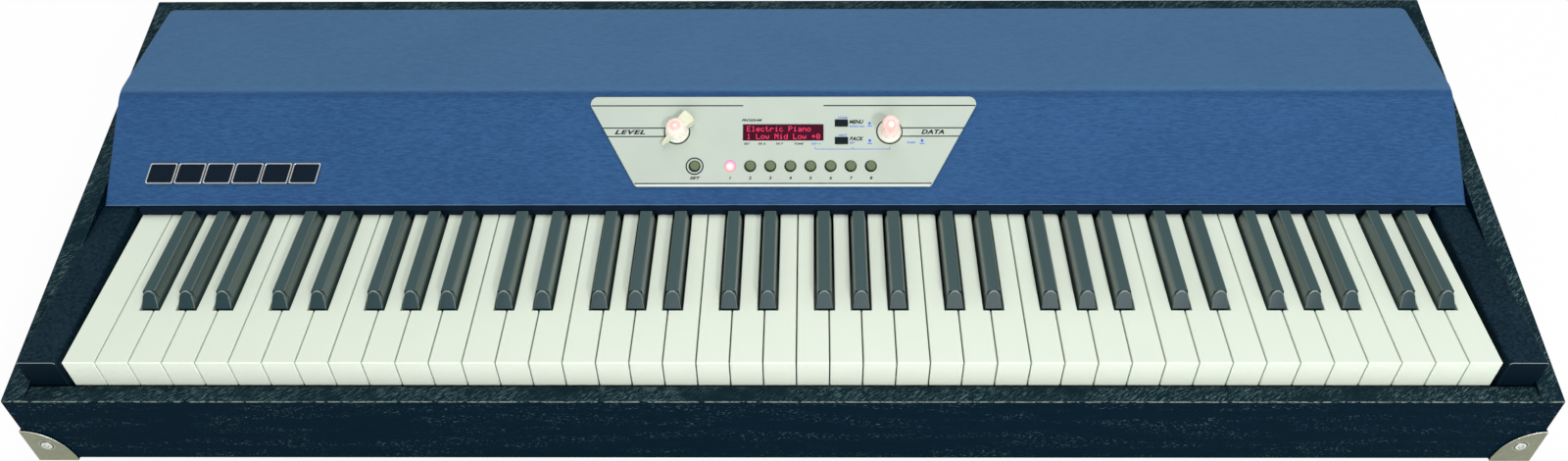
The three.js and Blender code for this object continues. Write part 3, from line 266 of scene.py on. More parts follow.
def brushed(name, colour, roughness, grain=(60, 900, 900), rim=None):
    """Brushed metal; a rim tone is a painted highlight on faces that look up."""
    paint = Paint(name)
    lines = paint.noise(grain, 4, 0.6)
    paint.colour = paint.blend((lines + paint.noise(60) * 0.6).step(0.5, 1.1), shade(colour, 0.82), colour)
    # painted highlight on faces that look up
    if rim:
        paint.layer(paint.facing("Z").step(0.2, 0.5), rim)
    paint.surface(lines * 0.2 + (roughness - 0.1), Metallic=1.0, Normal=paint.bump(lines, 0.02, 0.3))


def key_finish(name, tone, front, line, roughness, specular, sides=None):
    """Smooth key plastic, with painted shade on upright fronts and a painted highlight along the rounded
    front edges.
    Sides are a sharp's painted tones: a highlight on its long edges, shade on its flanks and darker shade on
    its nose."""
    paint = Paint(name)
    ahead = paint.ahead()
    fine = paint.mottle(shade(tone, 0.97), tone)
    # painted highlight along the rounded front edges
    paint.layer(ahead.step(0.12, 0.35) * (1 - ahead.step(0.60, 0.76)), line)
    sheen = 0.0
    if sides:
        long_edge_highlight, flank_shade, nose = sides
        aside = abs(paint.facing("X"))
        flank = aside.step(0.90, 0.97)
        # painted highlight on a sharp's long edges
        paint.layer(aside.step(0.15, 0.4) * paint.facing("Z").step(0.35, 0.6), long_edge_highlight)
        # painted shade on a sharp's flanks
        paint.layer(flank, flank_shade)
        # darker painted shade on a sharp's leaning nose
        paint.layer(ahead.step(0.74, 0.80), nose)
        sheen = flank * 0.7
    # painted shade on upright fronts
    paint.layer(ahead.step(0.92, 0.985), front)
    paint.surface(fine * 0.1 + (roughness - 0.05), specular, Coat_Weight=sheen, Coat_Roughness=0.3)


def rivet_metal(name):
    """Bright nickel, with painted shade in two grooves round the middle."""
    paint = Paint(name)
    out = paint.reach()
    # painted shade in the two grooves
    groove_shade = (out.step(0.0012, 0.0015) * (1 - out.step(0.0018, 0.0021)) * 0.7
               + out.step(0.0037, 0.0041) * (1 - out.step(0.0046, 0.0050)))
    paint.colour = paint.blend(out.step(0.0046, 0.0052), (0.62, 0.66, 0.60), (0.29, 0.305, 0.215))
    paint.layer(groove_shade, (0.04, 0.05, 0.05))
    paint.surface(paint.noise(900) * 0.1 + 0.3, Metallic=0.7)


def glowing_dots(name):
    paint = Paint(name, (0.6, 0.02, 0.08))
    fine, glow = paint.noise(700, 2), (0.86, 0.045, 0.12)
    paint.surface(fine * 0.1 + 0.3, Emission_Strength=1.0,
                  Emission_Color=paint.blend(fine.step(0.3, 0.6), shade(glow, 0.85), glow))


def lit_cap(name):
    """A lit button: white-hot below its middle, pink to the rim and magenta at its upper side."""
    paint = Paint(name, (0.5, 0.3, 0.3))
    rim = paint.blend(paint.place_on("Y").step(0.0005, 0.0040), (1.0, 0.26, 0.33), (1.0, 0.14, 0.55))
    glow = paint.blend(paint.reach(0, -0.0008).step(0.0012, 0.0034), (1.0, 0.93, 0.78), rim)
    paint.surface(paint.noise(700, 2) * 0.1 + 0.3, Emission_Color=glow, Emission_Strength=0.85)


def unlit_cap(name):
    """An unlit button: olive, with painted shade toward the rim, reaching further in on one side."""
    paint = Paint(name)
    fine = paint.noise(700, 2)
    paint.colour = paint.blend(fine, (0.125, 0.165, 0.085), (0.145, 0.185, 0.100))
    # painted shade toward the rim
    paint.layer(paint.reach(0.0004, 0.0003).step(0.0031, 0.0044), (0.012, 0.020, 0.014))
    paint.surface(fine * 0.1 + 0.3, 0.25)


def lit_knob(name, core, halo, bands, glow, toward=0.0):
    """Frosted plastic over a lamp: a white core and a pink halo on the axis, with cloudy bands below.
    The bands are (height, colour), from the underside up."""
    paint = Paint(name, bands[0][1])
    out, height = paint.reach(0, toward), paint.place_on("Z")
    cloud = paint.noise((420, 420, 110), 3, 0.6, 0.5).step(0.35, 0.65)
    for level, tone in bands[1:]:
        paint.layer(height.step(level - 0.0006, level + 0.0006),
                    paint.blend(cloud, tone, shade(tone, 1.10, 0.03)))
    paint.layer(1 - out.step(halo * 0.75, halo * 1.1), (0.93, 0.47, 0.42))
    paint.layer(1 - out.step(core * 0.45, core * 1.25), (1.0, 0.93, 0.82))
    paint.surface(cloud * 0.1 + 0.25, 0.4, Emission_Color=paint.colour, Emission_Strength=glow)


# Finishes by the names of the record's material slots
tolex("black_tolex")
# blue vinyl: a painted highlight along the cover's lower edge, and a lighter painted sheen on its top
grained_vinyl("blue_vinyl", (0.020, 0.069, 0.180), (0.034, 0.102, 0.238), (150, 760, 760), 0.25, 0.08,
              (0.20, 0.36, 0.52), top=((0.050, 0.125, 0.245), (0.062, 0.150, 0.280)))
# black vinyl of the cheeks: a painted highlight along their front top edges, and painted shade on their
# fronts
grained_vinyl("black_vinyl", (0.002, 0.011, 0.020), (0.012, 0.030, 0.045), (400, 480, 480), 0.3, 0.035,
              (0.22, 0.29, 0.30), front_shade=(0.002, 0.008, 0.015))
moulded("strip_black", (0.003, 0.010, 0.022), 0.6, 0.2, specular=0.05)
# keys: painted shade on fronts and a painted highlight along front edges; sharps also take painted tones for
# their long edges, flanks and nose
key_finish("ivory_plastic", (0.745, 0.83, 0.71), (0.665, 0.73, 0.625), (0.93, 0.99, 0.93), 0.3, 0.3)
key_finish("ebony_plastic", (0.033, 0.072, 0.074), (0.003, 0.012, 0.015), (0.40, 0.43, 0.41), 0.34, 0.35,
           ((0.10, 0.135, 0.125), (0.030, 0.060, 0.058), (0.010, 0.037, 0.043)))
moulded("panel_silver", (0.490, 0.565, 0.490), 0.42, 0.05, 2500, 0.02, Metallic=0.1)
moulded("display_glass", (0.055, 0.003, 0.016), 0.18, 0.1, specular=0.12)
lit_knob("frosted_knob", 0.0021, 0.0046, (
    (0, (0.74, 0.75, 0.63)), (0.0016, (0.88, 0.78, 0.72)), (0.0055, (0.85, 0.66, 0.60)),
    (0.0150, (0.86, 0.60, 0.55))), 0.24, -0.0022)
unlit_cap("olive_button")
lit_cap("lit_button")
moulded("black_button", (0.003, 0.010, 0.014), 0.3, 0.2, specular=0.15)
moulded("circuit_board", (0.013, 0.10, 0.037), 0.4, 0.2, 400)
brushed("badge_chrome", (0.92, 0.94, 0.92), 0.2)
# nickel corner protectors: their top edges take a painted highlight
brushed("nickel", (0.29, 0.305, 0.215), 0.42, (300, 300, 300), (0.95, 0.95, 0.90))
moulded("rubber", (0.010, 0.010, 0.011), 0.8, 0.2)
brushed("frame_steel", (0.42, 0.43, 0.44), 0.4)
moulded("connector_black", (0.007, 0.008, 0.009), 0.45, 0.2)

# More finishes, for pieces made here
moulded("badge_enamel", (0.003, 0.010, 0.020), 0.15, 0.2, specular=0.12)
moulded("printed_dark", (0.006, 0.012, 0.02), 0.5, 0.2, specular=0.1)
moulded("printed_blue", (0.035, 0.15, 0.72), 0.5, 0.1, specular=0.1)
moulded("printed_white", (0.75, 0.76, 0.74), 0.5, 0.05)
glowing_dots("display_dots")
lit_knob("hub_plastic", 0.0013, 0.0046, (
    (0, (0.80, 0.80, 0.72)), (0.0026, (0.74, 0.66, 0.58)), (0.0062, (0.72, 0.72, 0.62)),
    (0.0105, (0.78, 0.66, 0.58))), 0.25)
rivet_metal("rivet_nickel")
moulded("cream_plastic", (0.72, 0.74, 0.56), 0.35, 0.03, specular=0.4)


def arc(centre, radius, start, end, steps):
    turn = [math.radians(start + (end - start) * i / steps) for i in range(steps + 1)]
    return [(centre[0] + radius * math.cos(a), centre[1] + radius * math.sin(a)) for a in turn]


def from_above(u, v, h):
    return (u, v, h)


def from_side(u, v, h):
    return (h, u, v)


class Form:
    """Closed bodies in millimetres, made of lofts, prisms and turned profiles."""

    def __init__(self):
        self.mesh = bmesh.new()

    def loft(self, rings, ends=True):
        rows = [[self.mesh.verts.new(point) for point in ring] for ring in rings]
        for low, high in zip(rows, rows[1:]):
            for i, corner in enumerate(low):
                after = (i + 1) % len(low)
                self.mesh.faces.new((corner, low[after], high[after], high[i]))
        if ends:
            self.mesh.faces.new(reversed(rows[0]))
            self.mesh.faces.new(rows[-1])
        return rows

    def prism(self, outline, low, high, put=from_above):
        self.loft([[put(u, v, h) for u, v in outline] for h in (low, high)])
        return self

    def box(self, low, high):
        return self.prism([(low[0], low[1]), (high[0], low[1]), (high[0], high[1]), (low[0], high[1])],
                          low[2], high[2])

    def turned(self, outline, sides=32, x=0, y=0):
        """Turns a line of (radius, height) points about an upright axis."""
        ways = [(math.cos(2 * math.pi * i / sides), math.sin(2 * math.pi * i / sides)) for i in range(sides)]
        self.loft([[(x + r * c, y + r * s, h) for c, s in ways] for r, h in outline])
        return self

    def rod(self, radius, low, high, sides, x=0, y=0):
        return self.turned([(0, low), (radius, low), (radius, high), (0, high)], sides, x, y)

    def merge(self, reach=0.002):
        bmesh.ops.remove_doubles(self.mesh, verts=self.mesh.verts, dist=reach)
        bmesh.ops.recalc_face_normals(self.mesh, faces=self.mesh.faces)

    def soften(self, width, steps=2, pick=None, angle=25, limit=True):
        """Rounds the outer edges that are sharper than the angle; pick chooses them by their two ends."""
        self.merge()
        edges = [edge for edge in self.mesh.edges if len(edge.link_faces) == 2
                 and edge.calc_face_angle_signed(0) > math.radians(angle)
                 and (pick is None or pick(*(v.co for v in edge.verts)))]
        bmesh.ops.bevel(self.mesh, geom=edges, offset=width, offset_type="OFFSET", segments=steps,
                        profile=0.5, affect="EDGES", clamp_overlap=limit)
        self.merge()
        return self

    def shifted(self, x, y, z):
        bmesh.ops.translate(self.mesh, verts=self.mesh.verts, vec=(x, y, z))
        return self

    def moved(self, matrix):
        self.mesh.transform(matrix)
        return self

    def taken(self, name):
        """The bodies as a mesh; the form is used up."""
        mesh = bpy.data.meshes.new(name)
        self.mesh.to_mesh(mesh)
        self.mesh.free()
        return mesh

    def fill(self, mesh):
        """Takes a mesh's bodies in, and removes the mesh."""
        self.mesh.from_mesh(mesh)
        bpy.data.meshes.remove(mesh)
        return self

    def add(self, other):
        return self.fill(other.taken("part"))


def placed(name, data, place=Matrix()):
    """Puts a mesh, lamp or camera into the scene."""
    holder = bpy.data.objects.new(name, data)
    bpy.context.scene.collection.objects.link(holder)
    holder.matrix_world = place
    return holder


def cut(form, tool):
    """The form without the room that the tool takes in it."""
    form.merge()
    tool.merge()
    body, cutter = (placed("part", part.taken("part")) for part in (form, tool))
    opening = body.modifiers.new("opening", "BOOLEAN")
    opening.operation, opening.object = "DIFFERENCE", cutter
    graph = bpy.context.evaluated_depsgraph_get()
    mesh = bpy.data.meshes.new_from_object(body.evaluated_get(graph))
    for holder in (body, cutter):
        bpy.data.meshes.remove(holder.data)
    return Form().fill(mesh)


def solid(name, form, finish, place=Matrix()):
    """Turns a form into an object in metres."""
    mesh = form.moved(Matrix.Scale(MM, 4)).taken(name)
    mesh.materials.append(looks[finish])
    return placed(name, mesh, place)


def make(name, form, finish, body="case", place=Matrix(), replaced=(), smooth=40):
    """Turns a form into a piece that rides on its body, with its finish as its material."""
    form.merge()
    piece = solid(name, form, finish, place)
    for face in piece.data.polygons:
        face.use_smooth = True
    piece.data.set_sharp_from_angle(angle=math.radians(smooth))
    weight = piece.modifiers.new("flat faces stay flat", "WEIGHTED_NORMAL")
    weight.keep_sharp = True
    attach(piece, body)
    if replaced:
        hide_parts(*replaced)


# Camera, solved from the photograph: the 43 naturals, the case's corners and the panel
CAMERA_AT = Vector((23.3, -735.1, 772.8)) * MM
CAMERA_DOWN, CAMERA_LEFT, CAMERA_ROLL = (math.radians(a) for a in (45.02, -0.554, -0.421))
FOCAL_PIXELS, PICTURE_WIDTH, PICTURE_HEIGHT = 1270.0, 1600.0, 470.0
CENTRE_PIXEL = (820.5, 255.2)
SENSOR_WIDTH, FARTHEST_SEEN = 36, 50


def set_camera():
    camera = bpy.data.cameras.new("camera")
    camera.sensor_width = SENSOR_WIDTH
    camera.lens = FOCAL_PIXELS * SENSOR_WIDTH / PICTURE_WIDTH
    camera.shift_x = (PICTURE_WIDTH / 2 - CENTRE_PIXEL[0]) / PICTURE_WIDTH
    camera.shift_y = (CENTRE_PIXEL[1] - PICTURE_HEIGHT / 2) / PICTURE_WIDTH
    camera.clip_end = FARTHEST_SEEN
    ahead = Vector((math.sin(CAMERA_LEFT) * math.cos(CAMERA_DOWN),
                    math.cos(CAMERA_LEFT) * math.cos(CAMERA_DOWN), -math.sin(CAMERA_DOWN)))
    right = Vector((math.cos(CAMERA_LEFT), -math.sin(CAMERA_LEFT), 0))
    up = right.cross(ahead)
    across = right * math.cos(CAMERA_ROLL) + up * math.sin(CAMERA_ROLL)
    upward = up * math.cos(CAMERA_ROLL) - right * math.sin(CAMERA_ROLL)
    turn = Matrix((across, upward, -ahead)).transposed().to_4x4()
    bpy.context.scene.camera = placed("camera", camera, Matrix.Translation(CAMERA_AT) @ turn)


# White studio: the floor shows as nearly pure white to the camera and in reflections
FLOOR_HALF, FLOOR_SHEET, FLOOR_WHITE = 6000, 20, 0.92
WORLD_LIGHT, WORLD_SHOWN = 0.55, 1.0
LAMP_AIM = Vector((0, 0, 0.1))
LAMPS = (("overhead", (0.0, 0.7, 2.6), 2.2, 20), ("key", (0.77, -1.69, 1.28), 0.22, 17),
         ("front", (0.0, -3.2, 0.9), 2.0, 36))


def set_stage():
    paint = Paint("floor", (0.97, 0.97, 0.97))
    rays = paint.node("LightPath", out="Is Camera Ray")
    shiny = paint.node("LightPath", out="Is Glossy Ray")
    paint.surface(0.9, 0.1)
    white = paint.node("Emission", None, {"Color": (1, 1, 1, 1), "Strength": 1.0}, "Emission")
    shown = paint.node("MixShader", None, {0: rays.math("MAXIMUM", rays, shiny) * FLOOR_WHITE,
                       1: Sock(paint, paint.shader.outputs[0]), 2: white})
    paint.tree.links.new(shown.socket, paint.tree.nodes["Material Output"].inputs["Surface"])
    slab = Form().box((-FLOOR_HALF, -FLOOR_HALF, -FLOOR_SHEET), (FLOOR_HALF, FLOOR_HALF, 0))
    solid("floor", slab, "floor")
    world = bpy.data.worlds.new("studio")
    bpy.context.scene.world = world
    world.use_nodes = True
    tree = world.node_tree
    backdrop = tree.nodes["Background"]
    seen = tree.nodes.new("ShaderNodeLightPath")
    level = tree.nodes.new("ShaderNodeMapRange")
    level.inputs["To Min"].default_value, level.inputs["To Max"].default_value = WORLD_LIGHT, WORLD_SHOWN
    tree.links.new(seen.outputs["Is Camera Ray"], level.inputs["Value"])
    tree.links.new(level.outputs[0], backdrop.inputs["Strength"])
    backdrop.inputs["Color"].default_value = (1, 1, 1, 1)
    for name, at, size, power in LAMPS:
        lamp = bpy.data.lights.new(name, "AREA")
        lamp.shape, lamp.size, lamp.energy = "DISK", size, power
        turn = (LAMP_AIM - Vector(at)).to_track_quat("-Z", "Y").to_matrix().to_4x4()
        placed(name, lamp, Matrix.Translation(at) @ turn)


set_camera()
set_stage()
bpy.context.scene.view_settings.view_transform = "Standard"


# Case: one covered tray
def case_skin():
    """Side walls, front rail, rear panel with its recess, and floor; each board's outer edges are rounded.
    The boards between the walls reach a little into them and lie a hair below their faces."""
    form = Form()
    hair, reach, past = 0.02, WALL_IN + 1, 5
    for _, side in SIDES:
        low, high = sorted((side * WALL_IN, side * WALL_OUT))
        wall = Form().prism([(FRONT, UNDERSIDE), (BACK, UNDERSIDE), (BACK, BACK_TOP), (FRONT, RAIL_TOP)],
                            low, high, from_side)
        wall.soften(EDGE_ROUND, 3, lambda a, b: abs(a.x - b.x) > 1 or min(abs(a.x), abs(b.x)) > WALL_IN + 1)
        wall.soften(EDGE_ROUND, 3, lambda a, b: max(abs(a.x), abs(b.x)) < WALL_IN + 0.1
                    and (a - b).length > LONG_EDGE and min(a.z, b.z) > RAIL_TOP - 1)
        form.add(wall)
    rail = Form().box((-reach, FRONT + hair, UNDERSIDE + hair), (reach, RAIL_IN, RAIL_TOP - hair))
    rail.soften(EDGE_ROUND, 3, lambda a, b: max(a.y, b.y) < FRONT + 1 and (a - b).length > LONG_EDGE)
    rail.soften(RAIL_LIP_ROUND, 3, lambda a, b: min(a.y, b.y) > RAIL_IN - 1 and (a - b).length > LONG_EDGE
                and min(a.z, b.z) > RAIL_TOP - 1)
    form.add(rail)
    rear = Form().box((-reach, BACK_IN, UNDERSIDE + hair), (reach, BACK - hair, BACK_TOP - hair))
    rear.soften(EDGE_ROUND, 3, lambda a, b: min(a.y, b.y) > BACK - 1 and (a - b).length > LONG_EDGE)
    opening = Form().box((RECESS_LEFT, BACK_IN - past, RECESS_LOW), (RECESS_RIGHT, BACK + past, RECESS_HIGH))
    form.add(cut(rear, opening))
    return form.box((-reach, RAIL_IN - 1, UNDERSIDE + 2 * hair), (reach, BACK_IN + 1, FLOOR_TOP))


make("case_skin", case_skin(), "black_tolex",
     replaced=("front_rail", "left_side_wall", "right_side_wall", "rear_panel", "bottom_board"))


# Corner protectors: three quarter discs bent from one sheet, with a rivet in each upright one
PROTECTOR_REACH, PROTECTOR_HEIGHT, PROTECTOR_SHEET, PROTECTOR_SEAM = 29.0, 34.6, 0.8, 0.1
PROTECTOR_ROUND, PROTECTOR_RINGS, PROTECTOR_TURNS = 1.4, 8, 12
RIVET_IN, RIVET_UP, RIVET_SUNK = 13.0, 18.0, 0.05
RIVET_LINE = [(0, -0.6), (6.1, -0.6), (6.1, 0.1), (5.6, 0.45), (4.9, 0.4), (4.5, 0.1), (4.1, 0.35),
              (3.7, 0.8), (2.9, 1.0), (1.7, 1.05), (1.4, 0.8), (0, 0.85)]


def protector(side, end):
    form = Form()
    corner = Vector((side * (WALL_OUT + PROTECTOR_SEAM), end * (BACK + PROTECTOR_SEAM),
                     UNDERSIDE - PROTECTOR_SEAM))
    ways = [Vector((-side, 0, 0)), Vector((0, -end, 0)), Vector((0, 0, 1))]
    edges = [way * size for way, size in zip(ways, (PROTECTOR_REACH, PROTECTOR_REACH, PROTECTOR_HEIGHT))]

    def point(along, across, ring, turn):
        angle = math.pi / 2 * turn / PROTECTOR_TURNS
        return corner + (along * math.cos(angle) + across * math.sin(angle)) * (ring / PROTECTOR_RINGS)

    for along, across in zip(edges, edges[1:] + edges[:1]):
        for ring in range(PROTECTOR_RINGS):
            for turn in range(PROTECTOR_TURNS):
                spots = [(ring, turn), (ring + 1, turn), (ring + 1, turn + 1), (ring, turn + 1)]
                if ring == 0:
                    spots.pop()
                form.mesh.faces.new([form.mesh.verts.new(point(along, across, *spot)) for spot in spots])
    form.merge()
    middle = corner + (ways[0] + ways[1] + ways[2]) * 100
    for face in form.mesh.faces:
        if face.normal.dot(face.calc_center_median() - middle) < 0:
            face.normal_flip()
    inner = [[vert.co.copy() for vert in face.verts] for face in form.mesh.faces]
    for vert in form.mesh.verts:
        away = vert.co - corner
        for way in ways:
            if abs(away.dot(way)) < 0.001:
                vert.co -= way * PROTECTOR_SHEET
    skins = [[form.mesh.verts.new(spot) for spot in reversed(spots)] for spots in inner]
    for skin in skins:
        form.mesh.faces.new(skin)
    bmesh.ops.remove_doubles(form.mesh, verts=[vert for skin in skins for vert in skin], dist=0.001)
    rims = [edge for edge in form.mesh.edges if len(edge.link_faces) == 1]
    bmesh.ops.bridge_loops(form.mesh, edges=rims)
    return form.soften(PROTECTOR_ROUND, 3, angle=60)


def rivet_place(side, end, face):
    out = PROTECTOR_SEAM + PROTECTOR_SHEET - RIVET_SUNK
    if face == "front":
        x, y, turn = WALL_OUT - RIVET_IN, BACK + out, Matrix.Rotation(-end * math.pi / 2, 4, "X")
    else:
        x, y, turn = WALL_OUT + out, BACK - RIVET_IN, Matrix.Rotation(side * math.pi / 2, 4, "Y")
    return Matrix.Translation(Vector((side * x, end * y, UNDERSIDE + RIVET_UP)) * MM) @ turn


for corner, end, side in CORNERS:
    make(f"protector_{corner}", protector(side, end), "nickel",
         replaced=(f"corner_protector_{corner}",), smooth=50)
    for face in ("front", "side"):
        make(f"rivet_{corner}_{face}", Form().turned(RIVET_LINE), "rivet_nickel",
             place=rivet_place(side, end, face))

# Rubber feet, each with a screw in its well
FOOT_X, FOOT_Y = 488, 128
FOOT_LINE = [(0, 5), (5, 5), (5, 0.6), (5.6, 0), (13.5, 0), (14.4, 0.5), (15, 1.5), (16.9, 8.8),
             (16.7, 9.5), (16, 9.7), (0, 9.7)]
FOOT_SCREW = [(0, 4.2), (1.2, 4.2), (1.2, 3.2), (3.4, 3.6), (4.4, 4.6), (4.4, 5.2), (0, 5.2)]

for corner, end, side in CORNERS:
    x, y = side * FOOT_X, end * FOOT_Y
    make(f"rubber_foot_{corner}", Form().turned(FOOT_LINE, 40, x, y).turned(FOOT_SCREW, 20, x, y), "rubber",
         replaced=(f"foot_{corner}",))


# Keys
def natural_index(note):
    return note // 12 * 7 + NATURAL_STEPS.index(note % 12)


FIRST_INDEX = natural_index(FIRST_NOTE)
NATURALS = natural_index(LAST_NOTE) - FIRST_INDEX + 1


def edge_x(index):
    return (index - FIRST_INDEX - NATURALS / 2) * PITCH


def is_sharp(note):
    return note % 12 not in NATURAL_STEPS


def arm_x(note):
    """Arms and sharps share out the naturals' width evenly, C to E and F to B."""
    step = note % 12
    first, keys, naturals = (0, 5, 3) if step < 5 else (5, 7, 4)
    pitch = naturals * PITCH / keys
    return edge_x(natural_index(note - step + first)) + (step - first + 0.5) * pitch


def natural_side(edge, neighbour, way):
    """A natural's edge from front to back, notched where the neighbour is a sharp."""
    if not is_sharp(neighbour) or not FIRST_NOTE <= neighbour <= LAST_NOTE:
        return [(edge, NATURAL_LENGTH)]
    notch, inner = SHARP_FRONT - SHARP_CLEAR, arm_x(neighbour) - way * (SHARP_BASE / 2 + SHARP_CLEAR)
    return [(edge, notch), (inner, notch), (inner, NATURAL_LENGTH)]


def natural_outline(note):
    index = natural_index(note)
    left, right = edge_x(index) + KEY_GAP / 2, edge_x(index + 1) - KEY_GAP / 2
    return ([(left, 0), (right, 0)] + natural_side(right, note + 1, 1)
            + natural_side(left, note - 1, -1)[::-1])


def add_arm(form, note, cap_back, pivot):
    """The arm behind a cap, with the boss on its pivot rod."""
    x, start = arm_x(note), cap_back - ARM_LAP
    form.prism([(start, ARM_FOOT), (pivot - BOSS_HALF, ARM_FOOT), (pivot - BOSS_HALF, BOSS_SIDE),
                (pivot - BOSS_SLOPE, BOSS_FOOT), (pivot + BOSS_SLOPE, BOSS_FOOT),
                (pivot + BOSS_HALF, BOSS_SIDE), (pivot + BOSS_HALF, ARM_TOP), (start, ARM_TOP)],
               x - ARM_HALF, x + ARM_HALF, from_side)


def add_natural(form, note):
    cap = Form().prism(natural_outline(note), -NATURAL_SKIRT, 0)
    form.add(cap.soften(KEY_ROUND, 3, lambda a, b: max(a.z, b.z) > -1 or max(a.y, b.y) < 1))
    add_arm(form, note, NATURAL_LENGTH, NATURAL_PIVOT)


def add_sharp(form, note):
    """A sharp leans back to a round-topped nose, and steps out behind it to flat slanted sides."""
    cap = Form()
    centre = SHARP_HEIGHT - SHARP_CROWN
    base, lean = SHARP_BASE / 2, (SHARP_BASE - SHARP_TOP) / 2 / SHARP_HEIGHT
    far = 99
    nose, box = [], []
    for i in range(SHARP_STEPS + 1):
        turn = math.radians(180 - 180 * i / SHARP_STEPS)
        c, s = math.cos(turn), math.sin(turn)
        nose.append((SHARP_CROWN * c, centre + SHARP_CROWN * s))
        to_top = SHARP_CROWN / s if s > 0.5 else far
        to_side = (base - lean * centre) / (abs(c) + lean * s) if abs(c) > 0.01 else far
        reach = min(to_top, to_side)
        box.append((reach * c, centre + reach * s))
    tuck = base - SHARP_TUCK
    nose, box = ([(-tuck, -SHARP_DEPTH), (-base, 0)] + line + [(base, 0), (tuck, -SHARP_DEPTH)]
                 for line in (nose, box))

    def lean_y(z):
        return SHARP_FRONT + SHARP_LEAN * max(z, 0) / SHARP_HEIGHT

    # The worn edge's row ends 0.001 short of the step, so that merging doesn't join them
    step_y = SHARP_FRONT + SHARP_LEAN + SHARP_WORN
    smaller = 1 - SHARP_WORN / SHARP_CROWN
    face = [(x * smaller, min(z, centre + (z - centre) * smaller)) for x, z in nose]
    rows = cap.loft([[(x, lean_y(z), z) for x, z in face],
                     [(x, lean_y(z) + SHARP_WORN - 0.001, z) for x, z in nose],
                     [(x, step_y, z) for x, z in nose], [(x, step_y, z) for x, z in box],
                     [(x, SHARP_BACK, z) for x, z in box]], ends=False)
    cap.mesh.faces.new(rows[-1])
    front = rows[0]
    cap.mesh.faces.new(list(reversed(front[1:-1])))
    cap.mesh.faces.new([front[0], front[1], front[-2], front[-1]])
    cap.soften(SHARP_ROUND, 2, lambda a, b: min(a.z, b.z) > 5 and (a - b).length > 50, limit=False)
    form.add(cap.shifted(arm_x(note), 0, 0))
    add_arm(form, note, SHARP_BACK, SHARP_PIVOT)


def make_keys(name, notes, body, on_rod):
    """Keys of one kind as one piece; a section's keys are on one length of pivot rod."""
    adder, finish, pivot = ((add_sharp, "ebony_plastic", SHARP_PIVOT) if is_sharp(notes[0])
                            else (add_natural, "ivory_plastic", NATURAL_PIVOT))
    form = Form()
    for note in notes:
        adder(form, note)
    if on_rod:
        form.prism(arc((pivot, ROD_HEIGHT), ROD_RADIUS, 0, 360, 12)[:-1], arm_x(notes[0]) - ROD_PAST_ARM,
                   arm_x(notes[-1]) + ROD_PAST_ARM, from_side)
    make(name, form, finish, body, place=body_place, replaced=(body,), smooth=35)


SECTIONS = (("E1_to_B2", 16, 35), ("C3_to_B3", 36, 47), ("C5_to_B5", 60, 71), ("C6_to_E7", 72, 88))
NAMES = ("C", "C_sharp", "D", "D_sharp", "E", "F", "F_sharp", "G", "G_sharp", "A", "A_sharp", "B")

for title, first, last in SECTIONS:
    for kind, wanted in (("naturals", False), ("sharps", True)):
        notes = [note for note in range(first, last + 1) if is_sharp(note) == wanted]
        make_keys(f"keys_{kind}_{title}", notes, f"{kind}_{title}", True)
for i, name in enumerate(NAMES):
    make_keys(f"single_key_{name}4", [MIDDLE_C + i], f"key_{name}4", False)

# Cheek blocks at the ends of the keys
for side_name, side in SIDES:
    low, high = sorted((side * CHEEK_IN, side * CHEEK_OUT))
    form = Form().prism([(0, CHEEK_FOOT), (CHEEK_BACK, CHEEK_FOOT), (CHEEK_BACK, CHEEK_RISE),
                         (CHEEK_BEND, CHEEK_RISE), (0, 0)], low, high, from_side)
    form.soften(CHEEK_ROUND, 4, lambda a, b: max(a.z, b.z) > -1 and abs(a.y - b.y) > 1
                or min(a.y, b.y) > CHEEK_BACK - 10)
    form.soften(CHEEK_FRONT_ROUND, 3, lambda a, b: max(a.y, b.y) < 1)
    make(f"cheek_{side_name}", form, "black_vinyl", place=body_place, replaced=(f"{side_name}_cheek_block",))

# Panel, in the slope's frame: x from the middle, y up the slope
PANEL_LOW, PANEL_HIGH, PANEL_LOW_HALF, PANEL_HIGH_HALF = 14.3, 88.5, 116.3, 157.8
PLATE_FACE, PLATE_SHEET, PLATE_LAP, PLATE_LOW_ROUND, PLATE_HIGH_ROUND = 2.3, 2, 8.0, 3.0, 5.7
KNOB_X, KNOB_Y, BUTTON_Y, BANK_X = 84.2, 59.3, 31.0, -69.8
PATCH_X = [-41.8 + 15.857 * i for i in range(8)]
MENU_X, MENU_YS = 46.2, (66.55, 52.0)
DISPLAY_Y, DISPLAY_WIDTH, DISPLAY_HEIGHT = 58.9, 64.0, 13.7
PRINT_LOW, PRINT_HIGH = PLATE_FACE - 0.02, PLATE_FACE + 0.03


def edge_at(y):
    """Half the plate's width at a height."""
    share = (y - PANEL_LOW) / (PANEL_HIGH - PANEL_LOW)
    return PANEL_LOW_HALF + (PANEL_HIGH_HALF - PANEL_LOW_HALF) * share


